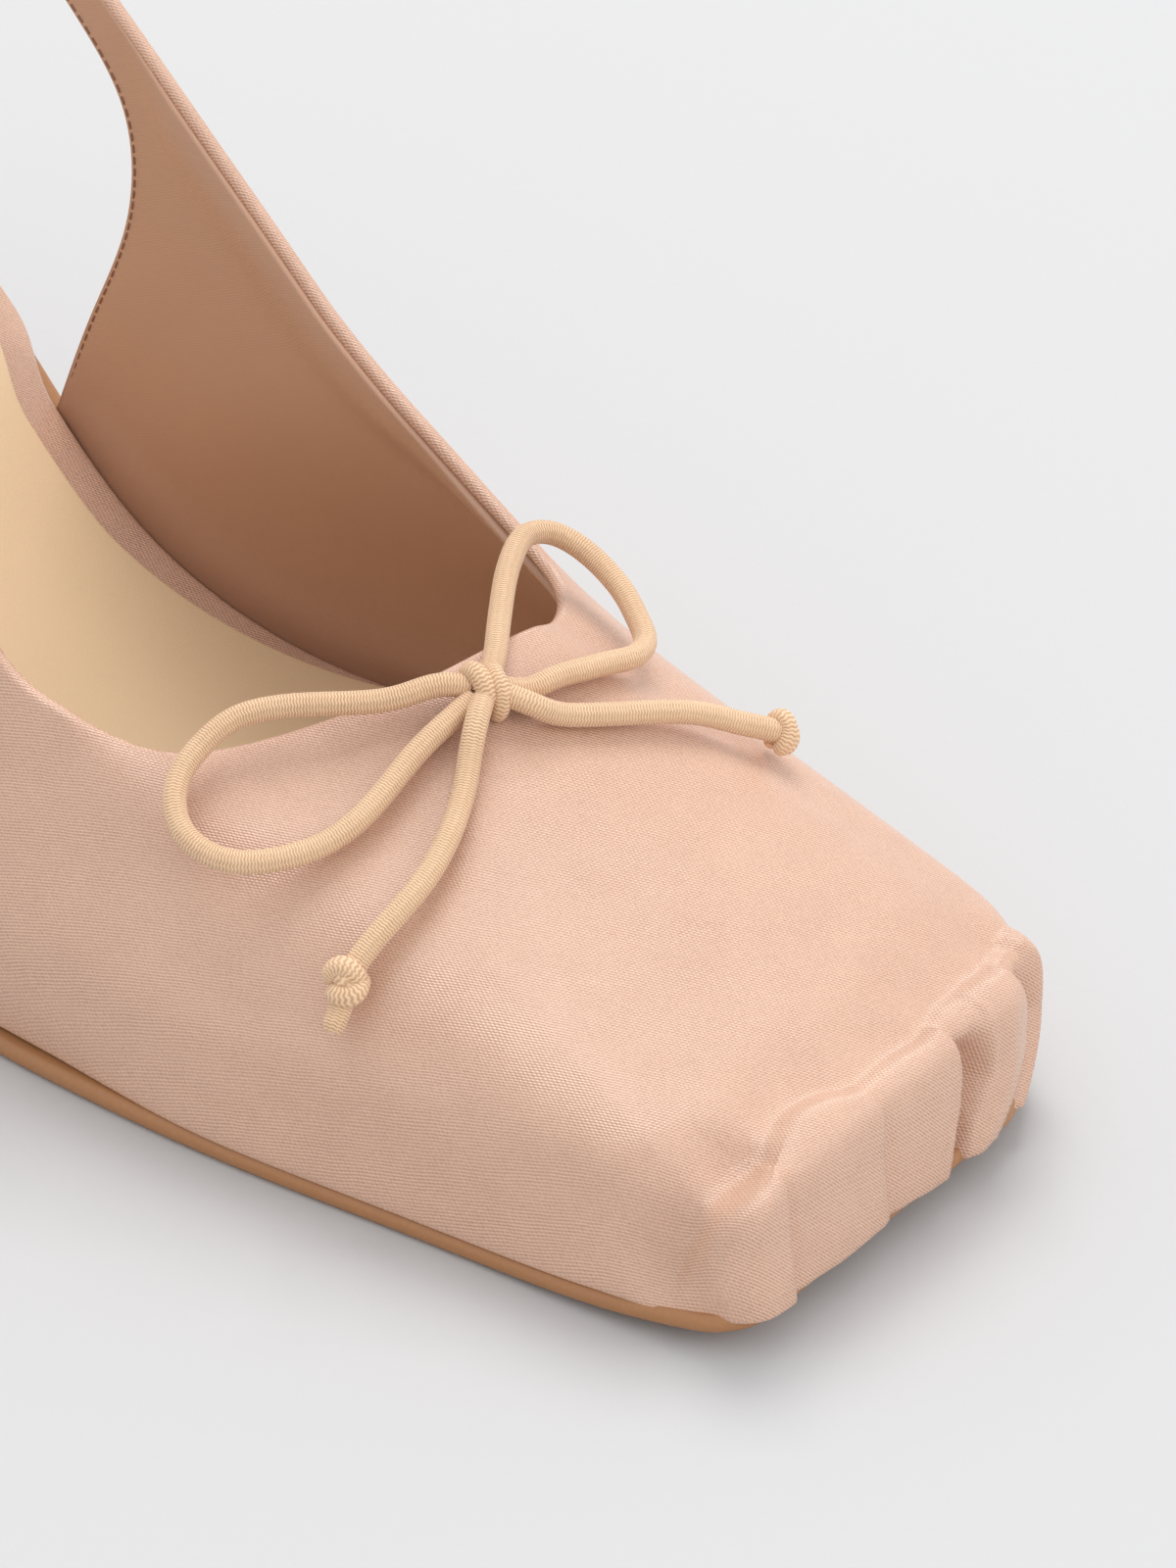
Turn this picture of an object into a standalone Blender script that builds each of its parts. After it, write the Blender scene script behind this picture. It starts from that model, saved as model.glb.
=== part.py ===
"""Slingback pump for the right foot, in metres, +Z up.

The toe points along +X and the inner (medial) side of the foot along +Y. The floor is z = 0, and
the origin is under the middle of the shoe. Every piece is worked out from the last: an outline in
plan, a side profile for its bottom, and sections that carry the upper from the sole's edge to the
topline.
"""

import bmesh
import bpy
import numpy as np
from mathutils import Matrix, Vector

# Overall sizes
LENGTH = 0.232
BALL_WIDTH = 0.0775
HEEL_HEIGHT = 0.078
COLLAR_HEIGHT = 0.054
TOE_SPRING = 0.0032
TOE_CORNERS = (0.0051, 0.0110)  # lateral, medial radius
SEAT_ROUND = 0.030

# Thicknesses and edges
OUTSOLE_THICKNESS = 0.0023
OUTSOLE_EDGE = 0.0006
BOARD_THICKNESS = 0.0026
BOARD_EDGE = 0.0009
SOCK_THICKNESS = 0.0009
SOCK_EDGE = 0.0003
UPPER_WALL = 0.0016
GAP = 0.0003

# Insets from the sole's edge, and the width of the wrapped rim that the sock leaves bare
FEATHER_INSET = 0.0013
SEAT_INSET = 0.0009
RIM_WIDTH = 0.0045

# Sling band and heel
SLING_WIDTH = 0.0047
HEEL_TOP_DEPTH = 0.046
HEEL_TIP_DEPTH = 0.022
HEEL_TIP_WIDTH = 0.024
HEEL_TIP_BACK = 0.0075
HEEL_TIP_THICKNESS = 0.005
HEEL_INSET = 0.0012
HEEL_WAIST = 1.7

# Shares of LENGTH from the toe: where the toe spring begins, where the quarter leaves the sole,
# between which the board comes out to the sole's edge, and between which the bare rim widens
SPRING_START = 0.16
QUARTER_END = 0.608
BOARD_LEAVES = 0.611
BOARD_OUT = 0.645
RIM_START = 0.36
RIM_FULL = 0.56

# Gathers of the toe: how far back they end and fade (of LENGTH), and how far up the upper's girth
# they start and have their full depth
PLEAT_END = 0.030
PLEAT_FADE = 0.005
PLEAT_FOOT = 0.07
PLEAT_FULL = 0.21

# Sole outline: place back from the toe (share of LENGTH), lateral and medial reach (of BALL_WIDTH)
OUTLINE = (
    # back, lateral, medial
    (0.000, 0.370, 0.328),
    (0.052, 0.405, 0.386),
    (0.129, 0.431, 0.431),
    (0.259, 0.483, 0.477),
    (0.345, 0.500, 0.500),
    (0.453, 0.483, 0.437),
    (0.560, 0.395, 0.360),
    (0.668, 0.324, 0.382),
    (0.776, 0.286, 0.390),
    (0.884, 0.286, 0.382),
    (1.000, 0.279, 0.354),
)

# Side profile of the sole's bottom: place back (of LENGTH), rise (of HEEL_HEIGHT)
SHANK = (
    # back, rise
    (0.300, 0.000),
    (0.400, 0.000),
    (0.431, 0.008),
    (0.474, 0.044),
    (0.560, 0.195),
    (0.647, 0.415),
    (0.733, 0.590),
    (0.819, 0.750),
    (0.905, 0.888),
    (1.000, 1.000),
)

# Sections of vamp and quarter, from the toe's middle back to the quarter's end. edge is the place
# along the sole's edge (share of the way to the quarter's end). The others shape the section on its
# way from the sole's edge (0) to the topline (1): how far in and how far up it is at the top of the
# side wall, the knee, the middle and below the topline. belly is the side's swell (of BALL_WIDTH).
SECTIONS = (
    # edge, belly, wall_in, wall_up, knee_in, knee_up, middle_in, middle_up, upper_in, upper_up
    (0.000, 0.022, 0.00, 0.37, 0.045, 0.420, 0.35, 0.575, 0.70, 0.810),
    (0.060, 0.022, 0.00, 0.37, 0.045, 0.420, 0.35, 0.575, 0.70, 0.810),
    (0.115, 0.020, 0.00, 0.37, 0.045, 0.420, 0.35, 0.575, 0.70, 0.810),
    (0.145, 0.014, 0.00, 0.37, 0.050, 0.425, 0.35, 0.585, 0.70, 0.820),
    (0.175, 0.008, 0.00, 0.38, 0.055, 0.440, 0.35, 0.605, 0.70, 0.835),
    (0.240, 0.006, 0.00, 0.38, 0.070, 0.460, 0.36, 0.640, 0.70, 0.850),
    (0.340, 0.008, 0.00, 0.36, 0.100, 0.460, 0.40, 0.635, 0.72, 0.820),
    (0.460, 0.012, 0.01, 0.34, 0.150, 0.430, 0.45, 0.610, 0.75, 0.785),
    (0.590, 0.018, 0.03, 0.33, 0.200, 0.465, 0.50, 0.640, 0.78, 0.815),
    (0.720, 0.020, 0.06, 0.32, 0.250, 0.490, 0.50, 0.680, 0.78, 0.850),
    (0.850, 0.018, 0.12, 0.32, 0.300, 0.500, 0.55, 0.680, 0.80, 0.850),
    (0.940, 0.012, 0.22, 0.32, 0.380, 0.490, 0.60, 0.670, 0.82, 0.840),
    (1.000, 0.008, 0.31, 0.32, 0.460, 0.480, 0.65, 0.660, 0.83, 0.830),
)

# Topline beside each section, and then along the quarter's back edge: place back (of LENGTH), reach
# from the centre line (of BALL_WIDTH) and height above the sole (of COLLAR_HEIGHT), for both sides
TOPLINE = (
    # lateral: back, out, up; medial: back, out, up
    (0.2651, 0.000, 0.767, 0.2651, 0.000, 0.767),
    (0.2737, 0.067, 0.750, 0.2612, 0.067, 0.770),
    (0.2845, 0.123, 0.728, 0.2585, 0.130, 0.765),
    (0.2953, 0.161, 0.707, 0.2600, 0.172, 0.744),
    (0.3060, 0.199, 0.689, 0.2640, 0.214, 0.715),
    (0.3233, 0.265, 0.674, 0.2750, 0.271, 0.700),
    (0.3440, 0.329, 0.689, 0.2985, 0.329, 0.697),
    (0.3707, 0.374, 0.735, 0.3340, 0.354, 0.756),
    (0.3850, 0.385, 0.752, 0.3620, 0.359, 0.821),
    (0.4000, 0.390, 0.775, 0.3850, 0.362, 0.876),
    (0.4150, 0.392, 0.811, 0.4050, 0.366, 0.924),
    (0.4280, 0.392, 0.852, 0.4220, 0.369, 0.964),
    (0.4430, 0.391, 0.903, 0.4400, 0.373, 1.005),
    (0.4700, 0.387, 0.997, 0.4700, 0.381, 1.066),
    (0.5050, 0.384, 1.095, 0.5050, 0.388, 1.116),
    (0.5450, 0.384, 1.152, 0.5450, 0.391, 1.156),
    (0.5850, 0.387, 1.167, 0.5850, 0.391, 1.167),
)

# Back edge of the quarter, from the sole up to the sling band, in the same shares
QUARTER_BACK = (
    # back, out, up
    (0.5828, 0.366, 0.374),
    (0.5621, 0.380, 0.693),
    (0.5612, 0.387, 0.936),
    (0.5905, 0.388, 1.022),
)

# Upper edge of the sling band, on to the middle of the heel, in the same shares
SLING = (
    # back, out, up
    (0.6336, 0.386, 1.144),
    (0.6724, 0.376, 1.108),
    (0.7414, 0.348, 1.045),
    (0.8190, 0.307, 0.986),
    (0.8879, 0.243, 0.936),
    (0.9397, 0.155, 0.911),
    (0.9677, 0.071, 0.899),
    (0.9741, 0.000, 0.896),
)

# Folds of the gathered toe: place across (of BALL_WIDTH, medial positive), depth (of UPPER_WALL),
# half width (of BALL_WIDTH)
PLEATS = (
    # across, depth, half_width
    (-0.290, 0.45, 0.022),
    (-0.075, 0.50, 0.026),
    (0.085, 0.95, 0.024),
    (0.190, 0.95, 0.022),
    (0.275, 0.60, 0.020),
)

# Bow of round cord at the throat: its routes are chosen points, in metres
CORD_DIAMETER = 0.0025
CORD_STEP = 2.4
BOW_KNOT = (0.0597, -0.0002, 0.0428)
BOW_KNOT_SIZE = (0.0039, 0.0039, 0.0026)
BOW_KNOT_UP = (0.35, -0.15, 0.92)
END_KNOT_SIZE = (0.0019, 0.0019, 0.0029)
NEAR_END_KNOT = (0.0675, -0.0326, 0.0252)
FAR_END_KNOT = (0.0807, 0.0232, 0.0320)
BOW_LOOP_NEAR = (
    (0.0563, -0.0033, 0.0433),
    (0.0538, -0.0068, 0.0426),
    (0.0508, -0.0104, 0.0421),
    (0.0477, -0.0135, 0.0417),
    (0.0449, -0.0168, 0.0412),
    (0.0430, -0.0200, 0.0404),
    (0.0421, -0.0236, 0.0390),
    (0.0422, -0.0268, 0.0376),
    (0.0434, -0.0295, 0.0360),
    (0.0458, -0.0312, 0.0343),
    (0.0489, -0.0313, 0.0331),
    (0.0522, -0.0300, 0.0326),
    (0.0551, -0.0274, 0.0328),
    (0.0575, -0.0240, 0.0335),
    (0.0588, -0.0206, 0.0346),
    (0.0593, -0.0171, 0.0360),
    (0.0593, -0.0137, 0.0374),
    (0.0592, -0.0107, 0.0388),
    (0.0591, -0.0078, 0.0401),
    (0.0591, -0.0052, 0.0412),
)
BOW_LOOP_FAR = (
    (0.0573, 0.0041, 0.0434),
    (0.0553, 0.0070, 0.0440),
    (0.0531, 0.0102, 0.0443),
    (0.0511, 0.0133, 0.0445),
    (0.0493, 0.0168, 0.0446),
    (0.0484, 0.0202, 0.0443),
    (0.0493, 0.0227, 0.0436),
    (0.0516, 0.0240, 0.0425),
    (0.0550, 0.0242, 0.0411),
    (0.0589, 0.0232, 0.0398),
    (0.0621, 0.0215, 0.0388),
    (0.0645, 0.0196, 0.0383),
    (0.0655, 0.0168, 0.0385),
    (0.0651, 0.0134, 0.0393),
    (0.0641, 0.0098, 0.0402),
    (0.0629, 0.0062, 0.0411),
    (0.0621, 0.0041, 0.0415),
)
BOW_TAIL_NEAR = (
    (0.0620, -0.0045, 0.0418),
    (0.0631, -0.0068, 0.0396),
    (0.0644, -0.0090, 0.0379),
    (0.0657, -0.0114, 0.0366),
    (0.0670, -0.0142, 0.0353),
    (0.0681, -0.0176, 0.0338),
    (0.0686, -0.0211, 0.0324),
    (0.0685, -0.0246, 0.0309),
    (0.0681, -0.0277, 0.0292),
    (0.0678, -0.0301, 0.0275),
)
BOW_TAIL_FAR = (
    (0.0639, 0.0016, 0.0418),
    (0.0656, 0.0034, 0.0404),
    (0.0677, 0.0060, 0.0393),
    (0.0703, 0.0096, 0.0382),
    (0.0728, 0.0133, 0.0370),
    (0.0752, 0.0168, 0.0354),
    (0.0771, 0.0191, 0.0341),
    (0.0785, 0.0207, 0.0333),
)

# Columns of the upper's mesh between one section and the next, and rows from edge to topline
COLUMNS = (8, 7, 3, 3, 3, 3, 3, 2, 2, 2, 2, 2, 2, 1, 1, 1, 1, 2, 2, 2, 2, 2, 2, 2)
ROWS = 13

# Colours, linear red, green, blue
SATIN = (0.72, 0.46, 0.35)
SOLE_TAN = (0.42, 0.19, 0.07)
SOCK_CREAM = (0.69, 0.49, 0.29)
CORD_NUDE = (0.72, 0.48, 0.30)
RUBBER = (0.18, 0.11, 0.07)


def spline(knots, values):
    """Natural cubic spline through values at knots, as a function; values may be vectors."""
    knots = np.asarray(knots, float)
    values = np.asarray(values, float)
    step = np.diff(knots)
    slope = np.diff(values, axis=0) / step.reshape((-1,) + (1,) * (values.ndim - 1))
    count = len(knots)
    matrix = np.eye(count)
    right = np.zeros_like(values)
    for i in range(1, count - 1):
        matrix[i, i - 1] = step[i - 1]
        matrix[i, i] = 2 * (step[i - 1] + step[i])
        matrix[i, i + 1] = step[i]
        right[i] = 6 * (slope[i] - slope[i - 1])
    bend = np.linalg.solve(matrix, right.reshape(count, -1)).reshape(values.shape)

    def value(at):
        at = np.asarray(at, float)
        i = np.clip(np.searchsorted(knots, at, side="right") - 1, 0, count - 2)
        shape = at.shape + (1,) * (values.ndim - 1)
        h = step[i].reshape(shape)
        b = (at - knots[i]).reshape(shape)
        a = h - b
        curve = (bend[i] * a**3 + bend[i + 1] * b**3) / (6 * h)
        return curve + (values[i] / h - bend[i] * h / 6) * a + (values[i + 1] / h - bend[i + 1] * h / 6) * b

    return value


outline_reach = spline([row[0] for row in OUTLINE], [row[1:] for row in OUTLINE])
shank_rise = spline([row[0] for row in SHANK], [row[1] for row in SHANK])


def sole_height(back):
    """Height of the sole's bottom: flat at the ball, sprung at the toe, risen along the shank."""
    share = np.asarray(back) / LENGTH
    rise = np.where(share > SHANK[1][0], np.maximum(shank_rise(np.clip(share, 0.3, 1)), 0), 0)
    spring = np.clip(1 - share / SPRING_START, 0, 1) ** 2
    return HEEL_HEIGHT * rise + TOE_SPRING * spring


def reach(back, inset=0.0):
    """Lateral and medial distance from the centre line to the sole's edge, less an inset."""
    back = np.asarray(back, float)
    lateral, medial = (outline_reach(np.clip(back / LENGTH, 0, 1)) * BALL_WIDTH).T
    middle = (medial - lateral) / 2
    half = (medial + lateral) / 2 - inset
    near_seat = np.clip((back - (LENGTH - SEAT_ROUND)) / (SEAT_ROUND - inset), 0, 1)
    half = half * (1 - near_seat**2.3) ** (1 / 2.3)
    rounds = []
    for corner in TOE_CORNERS:
        radius = np.maximum(corner - inset, 0.0005)
        near_toe = np.clip(1 - (back - inset) / radius, 0, 1)
        rounds.append(radius * (1 - np.sqrt(1 - near_toe**2)))
    return half - middle - rounds[0], half + middle - rounds[1]


def on_last(back, across, above):
    """World place of a point: back from the toe, across the shoe, above the sole's bottom."""
    step = LENGTH / 1000
    slope = (sole_height(back + step) - sole_height(back - step)) / (2 * step)
    slope = np.where(np.asarray(back) < SPRING_START * LENGTH, 0, slope)
    size = np.sqrt(1 + slope**2)
    x = LENGTH / 2 - (back - above * slope / size)
    z = sole_height(back) + above / size
    return np.stack(np.broadcast_arrays(x, across, z), axis=-1)


def finish(name, colour, roughness, metallic=0.0):
    """A plain material."""
    material = bpy.data.materials.new(name)
    material.use_nodes = True
    shader = material.node_tree.nodes["Principled BSDF"]
    shader.inputs["Base Color"].default_value = (*colour, 1.0)
    shader.inputs["Roughness"].default_value = roughness
    shader.inputs["Metallic"].default_value = metallic
    material.diffuse_color = (*colour, 1.0)
    return material


def add_mesh(name, points, faces, material, collection):
    """One object from points and faces, shaded smooth with sharp edges kept."""
    mesh = bpy.data.meshes.new(name)
    mesh.from_pydata(np.asarray(points).reshape(-1, 3).tolist(), [], faces)
    mesh.validate()
    mesh.shade_smooth()
    mesh.set_sharp_from_angle(angle=np.radians(40))
    mesh.materials.append(material)
    item = bpy.data.objects.new(name, mesh)
    collection.objects.link(item)
    return item


def loft(name, rings, material, collection):
    """A closed solid through rings of points, with a flat cap on the first and last ring."""
    rings = np.asarray(rings)
    count, size = rings.shape[:2]
    faces = []
    for i in range(count - 1):
        for j in range(size):
            k = (j + 1) % size
            faces.append((i * size + j, i * size + k, (i + 1) * size + k, (i + 1) * size + j))
    faces.append(tuple(range(size))[::-1])
    faces.append(tuple((count - 1) * size + j for j in range(size)))
    return add_mesh(name, rings, faces, material, collection)


def layer(name, below, thickness, edge, inset, stations, material, collection):
    """A sole layer: rounded-off slices across the last, from the toe to the heel."""
    slices = []
    for back in stations:
        trim = inset(back)
        lateral, medial = reach(back, trim)
        chamfer = min(edge, 0.3 * float(lateral + medial))
        corners = (
            (-lateral, below + edge),
            (-lateral + chamfer, below),
            (medial - chamfer, below),
            (medial, below + edge),
            (medial, below + thickness - edge),
            (medial - chamfer, below + thickness),
            (-lateral + chamfer, below + thickness),
            (-lateral, below + thickness - edge),
        )
        slices.append([on_last(back, across, above) for across, above in corners])
    return loft(name, slices[::-1], material, collection)


def stations_along(inset_toe, inset_seat):
    """Places along the shoe, closer together round the toe's corners and the seat's end."""
    corner = max(TOE_CORNERS) - inset_toe
    toe = inset_toe + corner * (1 - np.cos(np.linspace(0, np.pi / 2, 8)))
    middle = np.linspace(max(TOE_CORNERS), LENGTH - SEAT_ROUND, 40)[1:-1]
    round_length = SEAT_ROUND - inset_seat
    seat = LENGTH - SEAT_ROUND + round_length * np.sin(np.linspace(0, np.pi / 2 * 0.985, 12))
    return np.concatenate([toe, middle, seat])


def bare_rim(back):
    """How far the sock stops short of the board's edge: nothing at the ball, a rim at the waist."""
    return RIM_WIDTH * np.clip((back / LENGTH - RIM_START) / (RIM_FULL - RIM_START), 0, 1)


def board_inset(back):
    """The board sits inside the upper, and beyond the quarter it comes out to the sole's edge."""
    inside = FEATHER_INSET + UPPER_WALL + 2 * GAP
    out = np.clip((back / LENGTH - BOARD_LEAVES) / (BOARD_OUT - BOARD_LEAVES), 0, 1)
    return inside + (SEAT_INSET - inside) * out * out * (3 - 2 * out)


def build_outsole(material, collection):
    """Thin leather sole with a rounded edge, under the whole shoe."""
    places = stations_along(0, 0)
    return layer("outsole", 0, OUTSOLE_THICKNESS, OUTSOLE_EDGE, lambda back: 0.0, places, material, collection)


def build_board(material, collection):
    """Insole board, wrapped in satin."""
    places = stations_along(board_inset(0), SEAT_INSET)
    below = OUTSOLE_THICKNESS + GAP
    return layer("insole_board", below, BOARD_THICKNESS, BOARD_EDGE, board_inset, places, material, collection)


def build_sock(material, collection):
    """Thin leather sock on the board, leaving its rim bare at the waist."""

    def inset(back):
        return board_inset(back) + BOARD_EDGE + bare_rim(back)

    places = stations_along(inset(0), inset(LENGTH))
    below = OUTSOLE_THICKNESS + BOARD_THICKNESS + 2 * GAP
    return layer("insole_sock", below, SOCK_THICKNESS, SOCK_EDGE, inset, places, material, collection)


def heel_rings():
    """Rings of the heel from its foot up to the seat, each a round back closed by a straight breast."""
    turn = np.linspace(-np.pi / 2, np.pi / 2, 25)
    seat_front = LENGTH - HEEL_TOP_DEPTH
    seat_back = LENGTH - HEEL_INSET
    tip_back = LENGTH - HEEL_TIP_BACK
    tip_front = tip_back - HEEL_TIP_DEPTH
    lateral, medial = reach(LENGTH - SEAT_ROUND)
    middle = float(medial - lateral) / 2
    seat_at = seat_front + (seat_back - seat_front) * np.cos(turn) ** 0.8
    low, high = reach(seat_at, HEEL_INSET)
    seat_across = np.where(turn < 0, -low, high)
    tip_at = tip_front + HEEL_TIP_DEPTH * np.cos(turn) ** 0.7
    tip_across = middle + HEEL_TIP_WIDTH / 2 * np.sign(turn) * np.abs(np.sin(turn)) ** 0.75
    breast = np.linspace(1, -1, 7)[1:-1]
    seat_at = np.concatenate([seat_at, np.full(5, seat_front)])
    tip_at = np.concatenate([tip_at, np.full(5, tip_front)])
    seat_half = (seat_across[len(turn) - 1] - seat_across[0]) / 2
    seat_middle = (seat_across[len(turn) - 1] + seat_across[0]) / 2
    seat_across = np.concatenate([seat_across, seat_middle + seat_half * breast])
    tip_across = np.concatenate([tip_across, middle + HEEL_TIP_WIDTH / 2 * breast])
    top = on_last(seat_at, seat_across, -GAP)
    foot = np.stack([LENGTH / 2 - tip_at, tip_across, np.full(len(tip_at), HEEL_TIP_THICKNESS + GAP)], axis=1)
    rings = []
    for share in np.linspace(0, 1, 11):
        ease = share**HEEL_WAIST
        ring = foot + (top - foot) * ease
        ring[:, 2] = foot[:, 2] + (top[:, 2] - foot[:, 2]) * share
        rings.append(ring[::-1])
    return rings


def build_heel(material, collection):
    """Heel block covered in satin, flaring up to the seat."""
    return loft("heel", heel_rings(), material, collection)


def build_heel_tip(material, collection):
    """Rubber top piece, the heel's own outline down to the floor."""
    upper = np.array(heel_rings()[0])
    upper[:, 2] = HEEL_TIP_THICKNESS
    lower = upper.copy()
    lower[:, 2] = 0
    return loft("heel_tip", [lower, upper], material, collection)


def edge_line(side):
    """The upper's foot on one side: places, reaches and running distance from the toe's middle."""
    corner = TOE_CORNERS[side] - FEATHER_INSET
    turn = np.linspace(0, np.pi / 2, 40)
    rest = np.linspace(TOE_CORNERS[side], QUARTER_END * LENGTH, 240)[1:]
    back = np.concatenate([FEATHER_INSET + corner * (1 - np.cos(turn)), rest])
    across = reach(back, FEATHER_INSET)[side]
    back = np.concatenate([[FEATHER_INSET], back])
    across = np.concatenate([[0], across])
    run = np.concatenate([[0], np.cumsum(np.hypot(np.diff(back), np.diff(across)))])
    return back, across, run


def loop_columns():
    """Numbers of the mesh's columns, counted in sections: the heel's middle, lateral side, toe, medial."""
    half = [0.0]
    for i, count in enumerate(COLUMNS):
        half += [i + (j + 1) / count for j in range(count)]
    half = np.array(half)
    return np.concatenate([-half[:0:-1], half[:-1]])


def place(back, out, up, sign):
    """World place of a topline or sling point given in shares."""
    back = np.asarray(back) * LENGTH
    height = sole_height(back) + np.asarray(up) * COLLAR_HEIGHT
    return np.stack([LENGTH / 2 - back, sign * np.asarray(out) * BALL_WIDTH, height], axis=-1)


def around(lateral, medial, at, wrap):
    """Spline round the shoe through one row of section points for each side."""
    line = np.concatenate([lateral[:0:-1], medial])
    numbers = np.arange(len(line)) - (len(lateral) - 1)
    if wrap:
        line = np.concatenate([line[-5:-1], line, line[1:5]])
        numbers = np.arange(len(line)) - (len(lateral) - 1) - 4
    return spline(numbers, line)(at)


def topline(at):
    """The topline and the sling's upper edge, right round the shoe."""
    table = np.array(TOPLINE)
    sling = np.array(SLING)
    sides = []
    for sign, columns in ((-1, (0, 1, 2)), (1, (3, 4, 5))):
        rows = np.concatenate([table[:, columns], sling])
        sides.append(place(*rows.T, sign))
    middle = heel_middle()
    for line in sides:
        share = np.clip((LENGTH / 2 - line[:, 0]) / LENGTH - QUARTER_END, 0, None) / (1 - QUARTER_END)
        line[:, 1] += middle * np.minimum(share * 1.6, 1)
    return around(sides[0], sides[1], at, True)


def heel_middle():
    """How far the seat's middle lies to the medial side."""
    lateral, medial = reach(LENGTH - SEAT_ROUND)
    return float(medial - lateral) / 2


def lower_edge(at, top):
    """The upper's lower edge: the sole's edge, the quarter's back edge, then the sling's lower edge."""
    last = len(SECTIONS) - 1
    edge = np.array([row[0] for row in SECTIONS])
    low = np.zeros_like(top)
    turned = np.gradient(top, axis=0)
    turned /= np.linalg.norm(turned, axis=1)[:, None]
    flat = np.hypot(turned[:, 0], turned[:, 1])
    drop = np.stack([-turned[:, 0] * turned[:, 2] / flat, -turned[:, 1] * turned[:, 2] / flat, flat], axis=1)
    band = top - SLING_WIDTH * drop
    for side, sign in ((0, -1), (1, 1)):
        back, across, run = edge_line(side)
        own = (np.sign(at) == sign) | (at == 0)
        here = own & (np.abs(at) <= last)
        distance = spline(np.arange(last + 1), edge * run[-1])(np.abs(at[here]))
        places = np.interp(distance, run, back)
        reaches = np.interp(distance, run, across)
        low[here] = on_last(places, sign * reaches, OUTSOLE_THICKNESS + GAP)
        corner = on_last(back[-1], sign * across[-1], OUTSOLE_THICKNESS + GAP)
        rows = np.array(QUARTER_BACK)
        rising = place(*rows.T, sign)
        start = last + len(rows) + 1
        first = np.argmin(np.abs(at - sign * start))
        then = np.argmin(np.abs(at - sign * (start + 1)))
        line = np.concatenate([[corner], rising, [band[first], band[then]]])
        there = own & (np.abs(at) > last) & (np.abs(at) <= start)
        low[there] = spline(np.arange(len(line)) + last, line)(np.abs(at[there]))
        beyond = own & (np.abs(at) > start)
        low[beyond] = band[beyond]
    return low


def basis(rows, controls):
    """Weights of a clamped cubic B-spline: one row for each place from edge to topline."""
    at = np.linspace(0, 1, rows)
    knots = np.concatenate([np.zeros(3), np.linspace(0, 1, controls - 2), np.ones(3)])
    weights = np.zeros((rows, len(knots) - 1))
    for i in range(len(knots) - 1):
        inside = (at >= knots[i]) & (at < knots[i + 1])
        weights[inside, i] = 1
    weights[-1, controls - 1] = 1
    for degree in range(1, 4):
        raised = np.zeros((rows, weights.shape[1] - 1))
        for i in range(raised.shape[1]):
            left = knots[i + degree] - knots[i]
            right = knots[i + degree + 1] - knots[i + 1]
            if left > 0:
                raised[:, i] += (at - knots[i]) / left * weights[:, i]
            if right > 0:
                raised[:, i] += (knots[i + degree + 1] - at) / right * weights[:, i + 1]
        weights = raised
    return weights


def control_rows(at):
    """Seven rows of control points right round the upper, from its lower edge to its topline."""
    top = topline(at)
    low = lower_edge(at, top)
    table = np.array(SECTIONS)[:, 1:]
    even = np.array([0.0, 0.32, 0.32, 0.48, 0.48, 0.66, 0.66, 0.83, 0.83])
    count = len(TOPLINE) + len(SLING)
    filled = np.concatenate([table, np.repeat(even[None], count - len(table), axis=0)])
    belly, *shares = around(filled, filled, at, True).T
    wall_in, wall_up, knee_in, knee_up, middle_in, middle_up, upper_in, upper_up = shares
    ahead = np.gradient(top, axis=0)
    outward = np.stack([ahead[:, 1], -ahead[:, 0], np.zeros(len(at))], axis=1)
    outward /= np.linalg.norm(outward, axis=1)[:, None]
    rows = [low]
    for inward, up, swell in (
        (wall_in / 2, wall_up / 2, 0.7),
        (wall_in, wall_up, 1.0),
        (knee_in, knee_up, 0.8),
        (middle_in, middle_up, 0.4),
        (upper_in, upper_up, 0.1),
    ):
        share = np.stack([inward, inward, up], axis=1)
        rows.append(low + (top - low) * share + outward * (swell * belly * BALL_WIDTH)[:, None])
    rows.append(top)
    return np.stack(rows)


def normals(grid):
    """Outward unit normals of a grid whose columns run right round."""
    along = np.roll(grid, -1, axis=1) - np.roll(grid, 1, axis=1)
    up = np.gradient(grid, axis=0)
    normal = np.cross(along, up)
    return normal / np.linalg.norm(normal, axis=2)[:, :, None]


def pleat_depth(grid):
    """Depth of the toe's gathers: soft valleys across the toe's face, fading over its ridge."""
    back = LENGTH / 2 - grid[:, :, 0]
    across = grid[:, :, 1] / BALL_WIDTH
    depth = np.zeros(grid.shape[:2])
    for middle, deep, half in PLEATS:
        depth += deep * np.exp(-(((across - middle) / half) ** 2))
    face = 1 / (1 + np.exp((back / LENGTH - PLEAT_END) / PLEAT_FADE))
    girth = np.linspace(0, 1, len(grid))
    rim = np.clip((girth - PLEAT_FOOT) / (PLEAT_FULL - PLEAT_FOOT), 0, 1)[:, None]
    return UPPER_WALL * depth * face * rim


def build_upper(material, collection):
    """Vamp, quarters and sling band as one lined wall, open underneath and at the collar."""
    at = loop_columns()
    weights = basis(ROWS, 7)
    outer = np.tensordot(weights, control_rows(at), axes=1)
    outer = outer - normals(outer) * pleat_depth(outer)[:, :, None]
    inner = outer - normals(outer) * UPPER_WALL
    rows, columns = outer.shape[:2]
    size = rows * columns
    faces = []
    for j in range(columns):
        k = (j + 1) % columns
        for i in range(rows - 1):
            a, b = i * columns + j, i * columns + k
            c, d = a + columns, b + columns
            faces.append((a, b, d, c))
            faces.append((size + a, size + c, size + d, size + b))
        faces.append((j, size + j, size + k, k))
        top = (rows - 1) * columns
        faces.append((top + j, top + k, size + top + k, size + top + j))
    return add_mesh("upper", np.concatenate([outer.reshape(-1, 3), inner.reshape(-1, 3)]), faces, material, collection)


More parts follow.
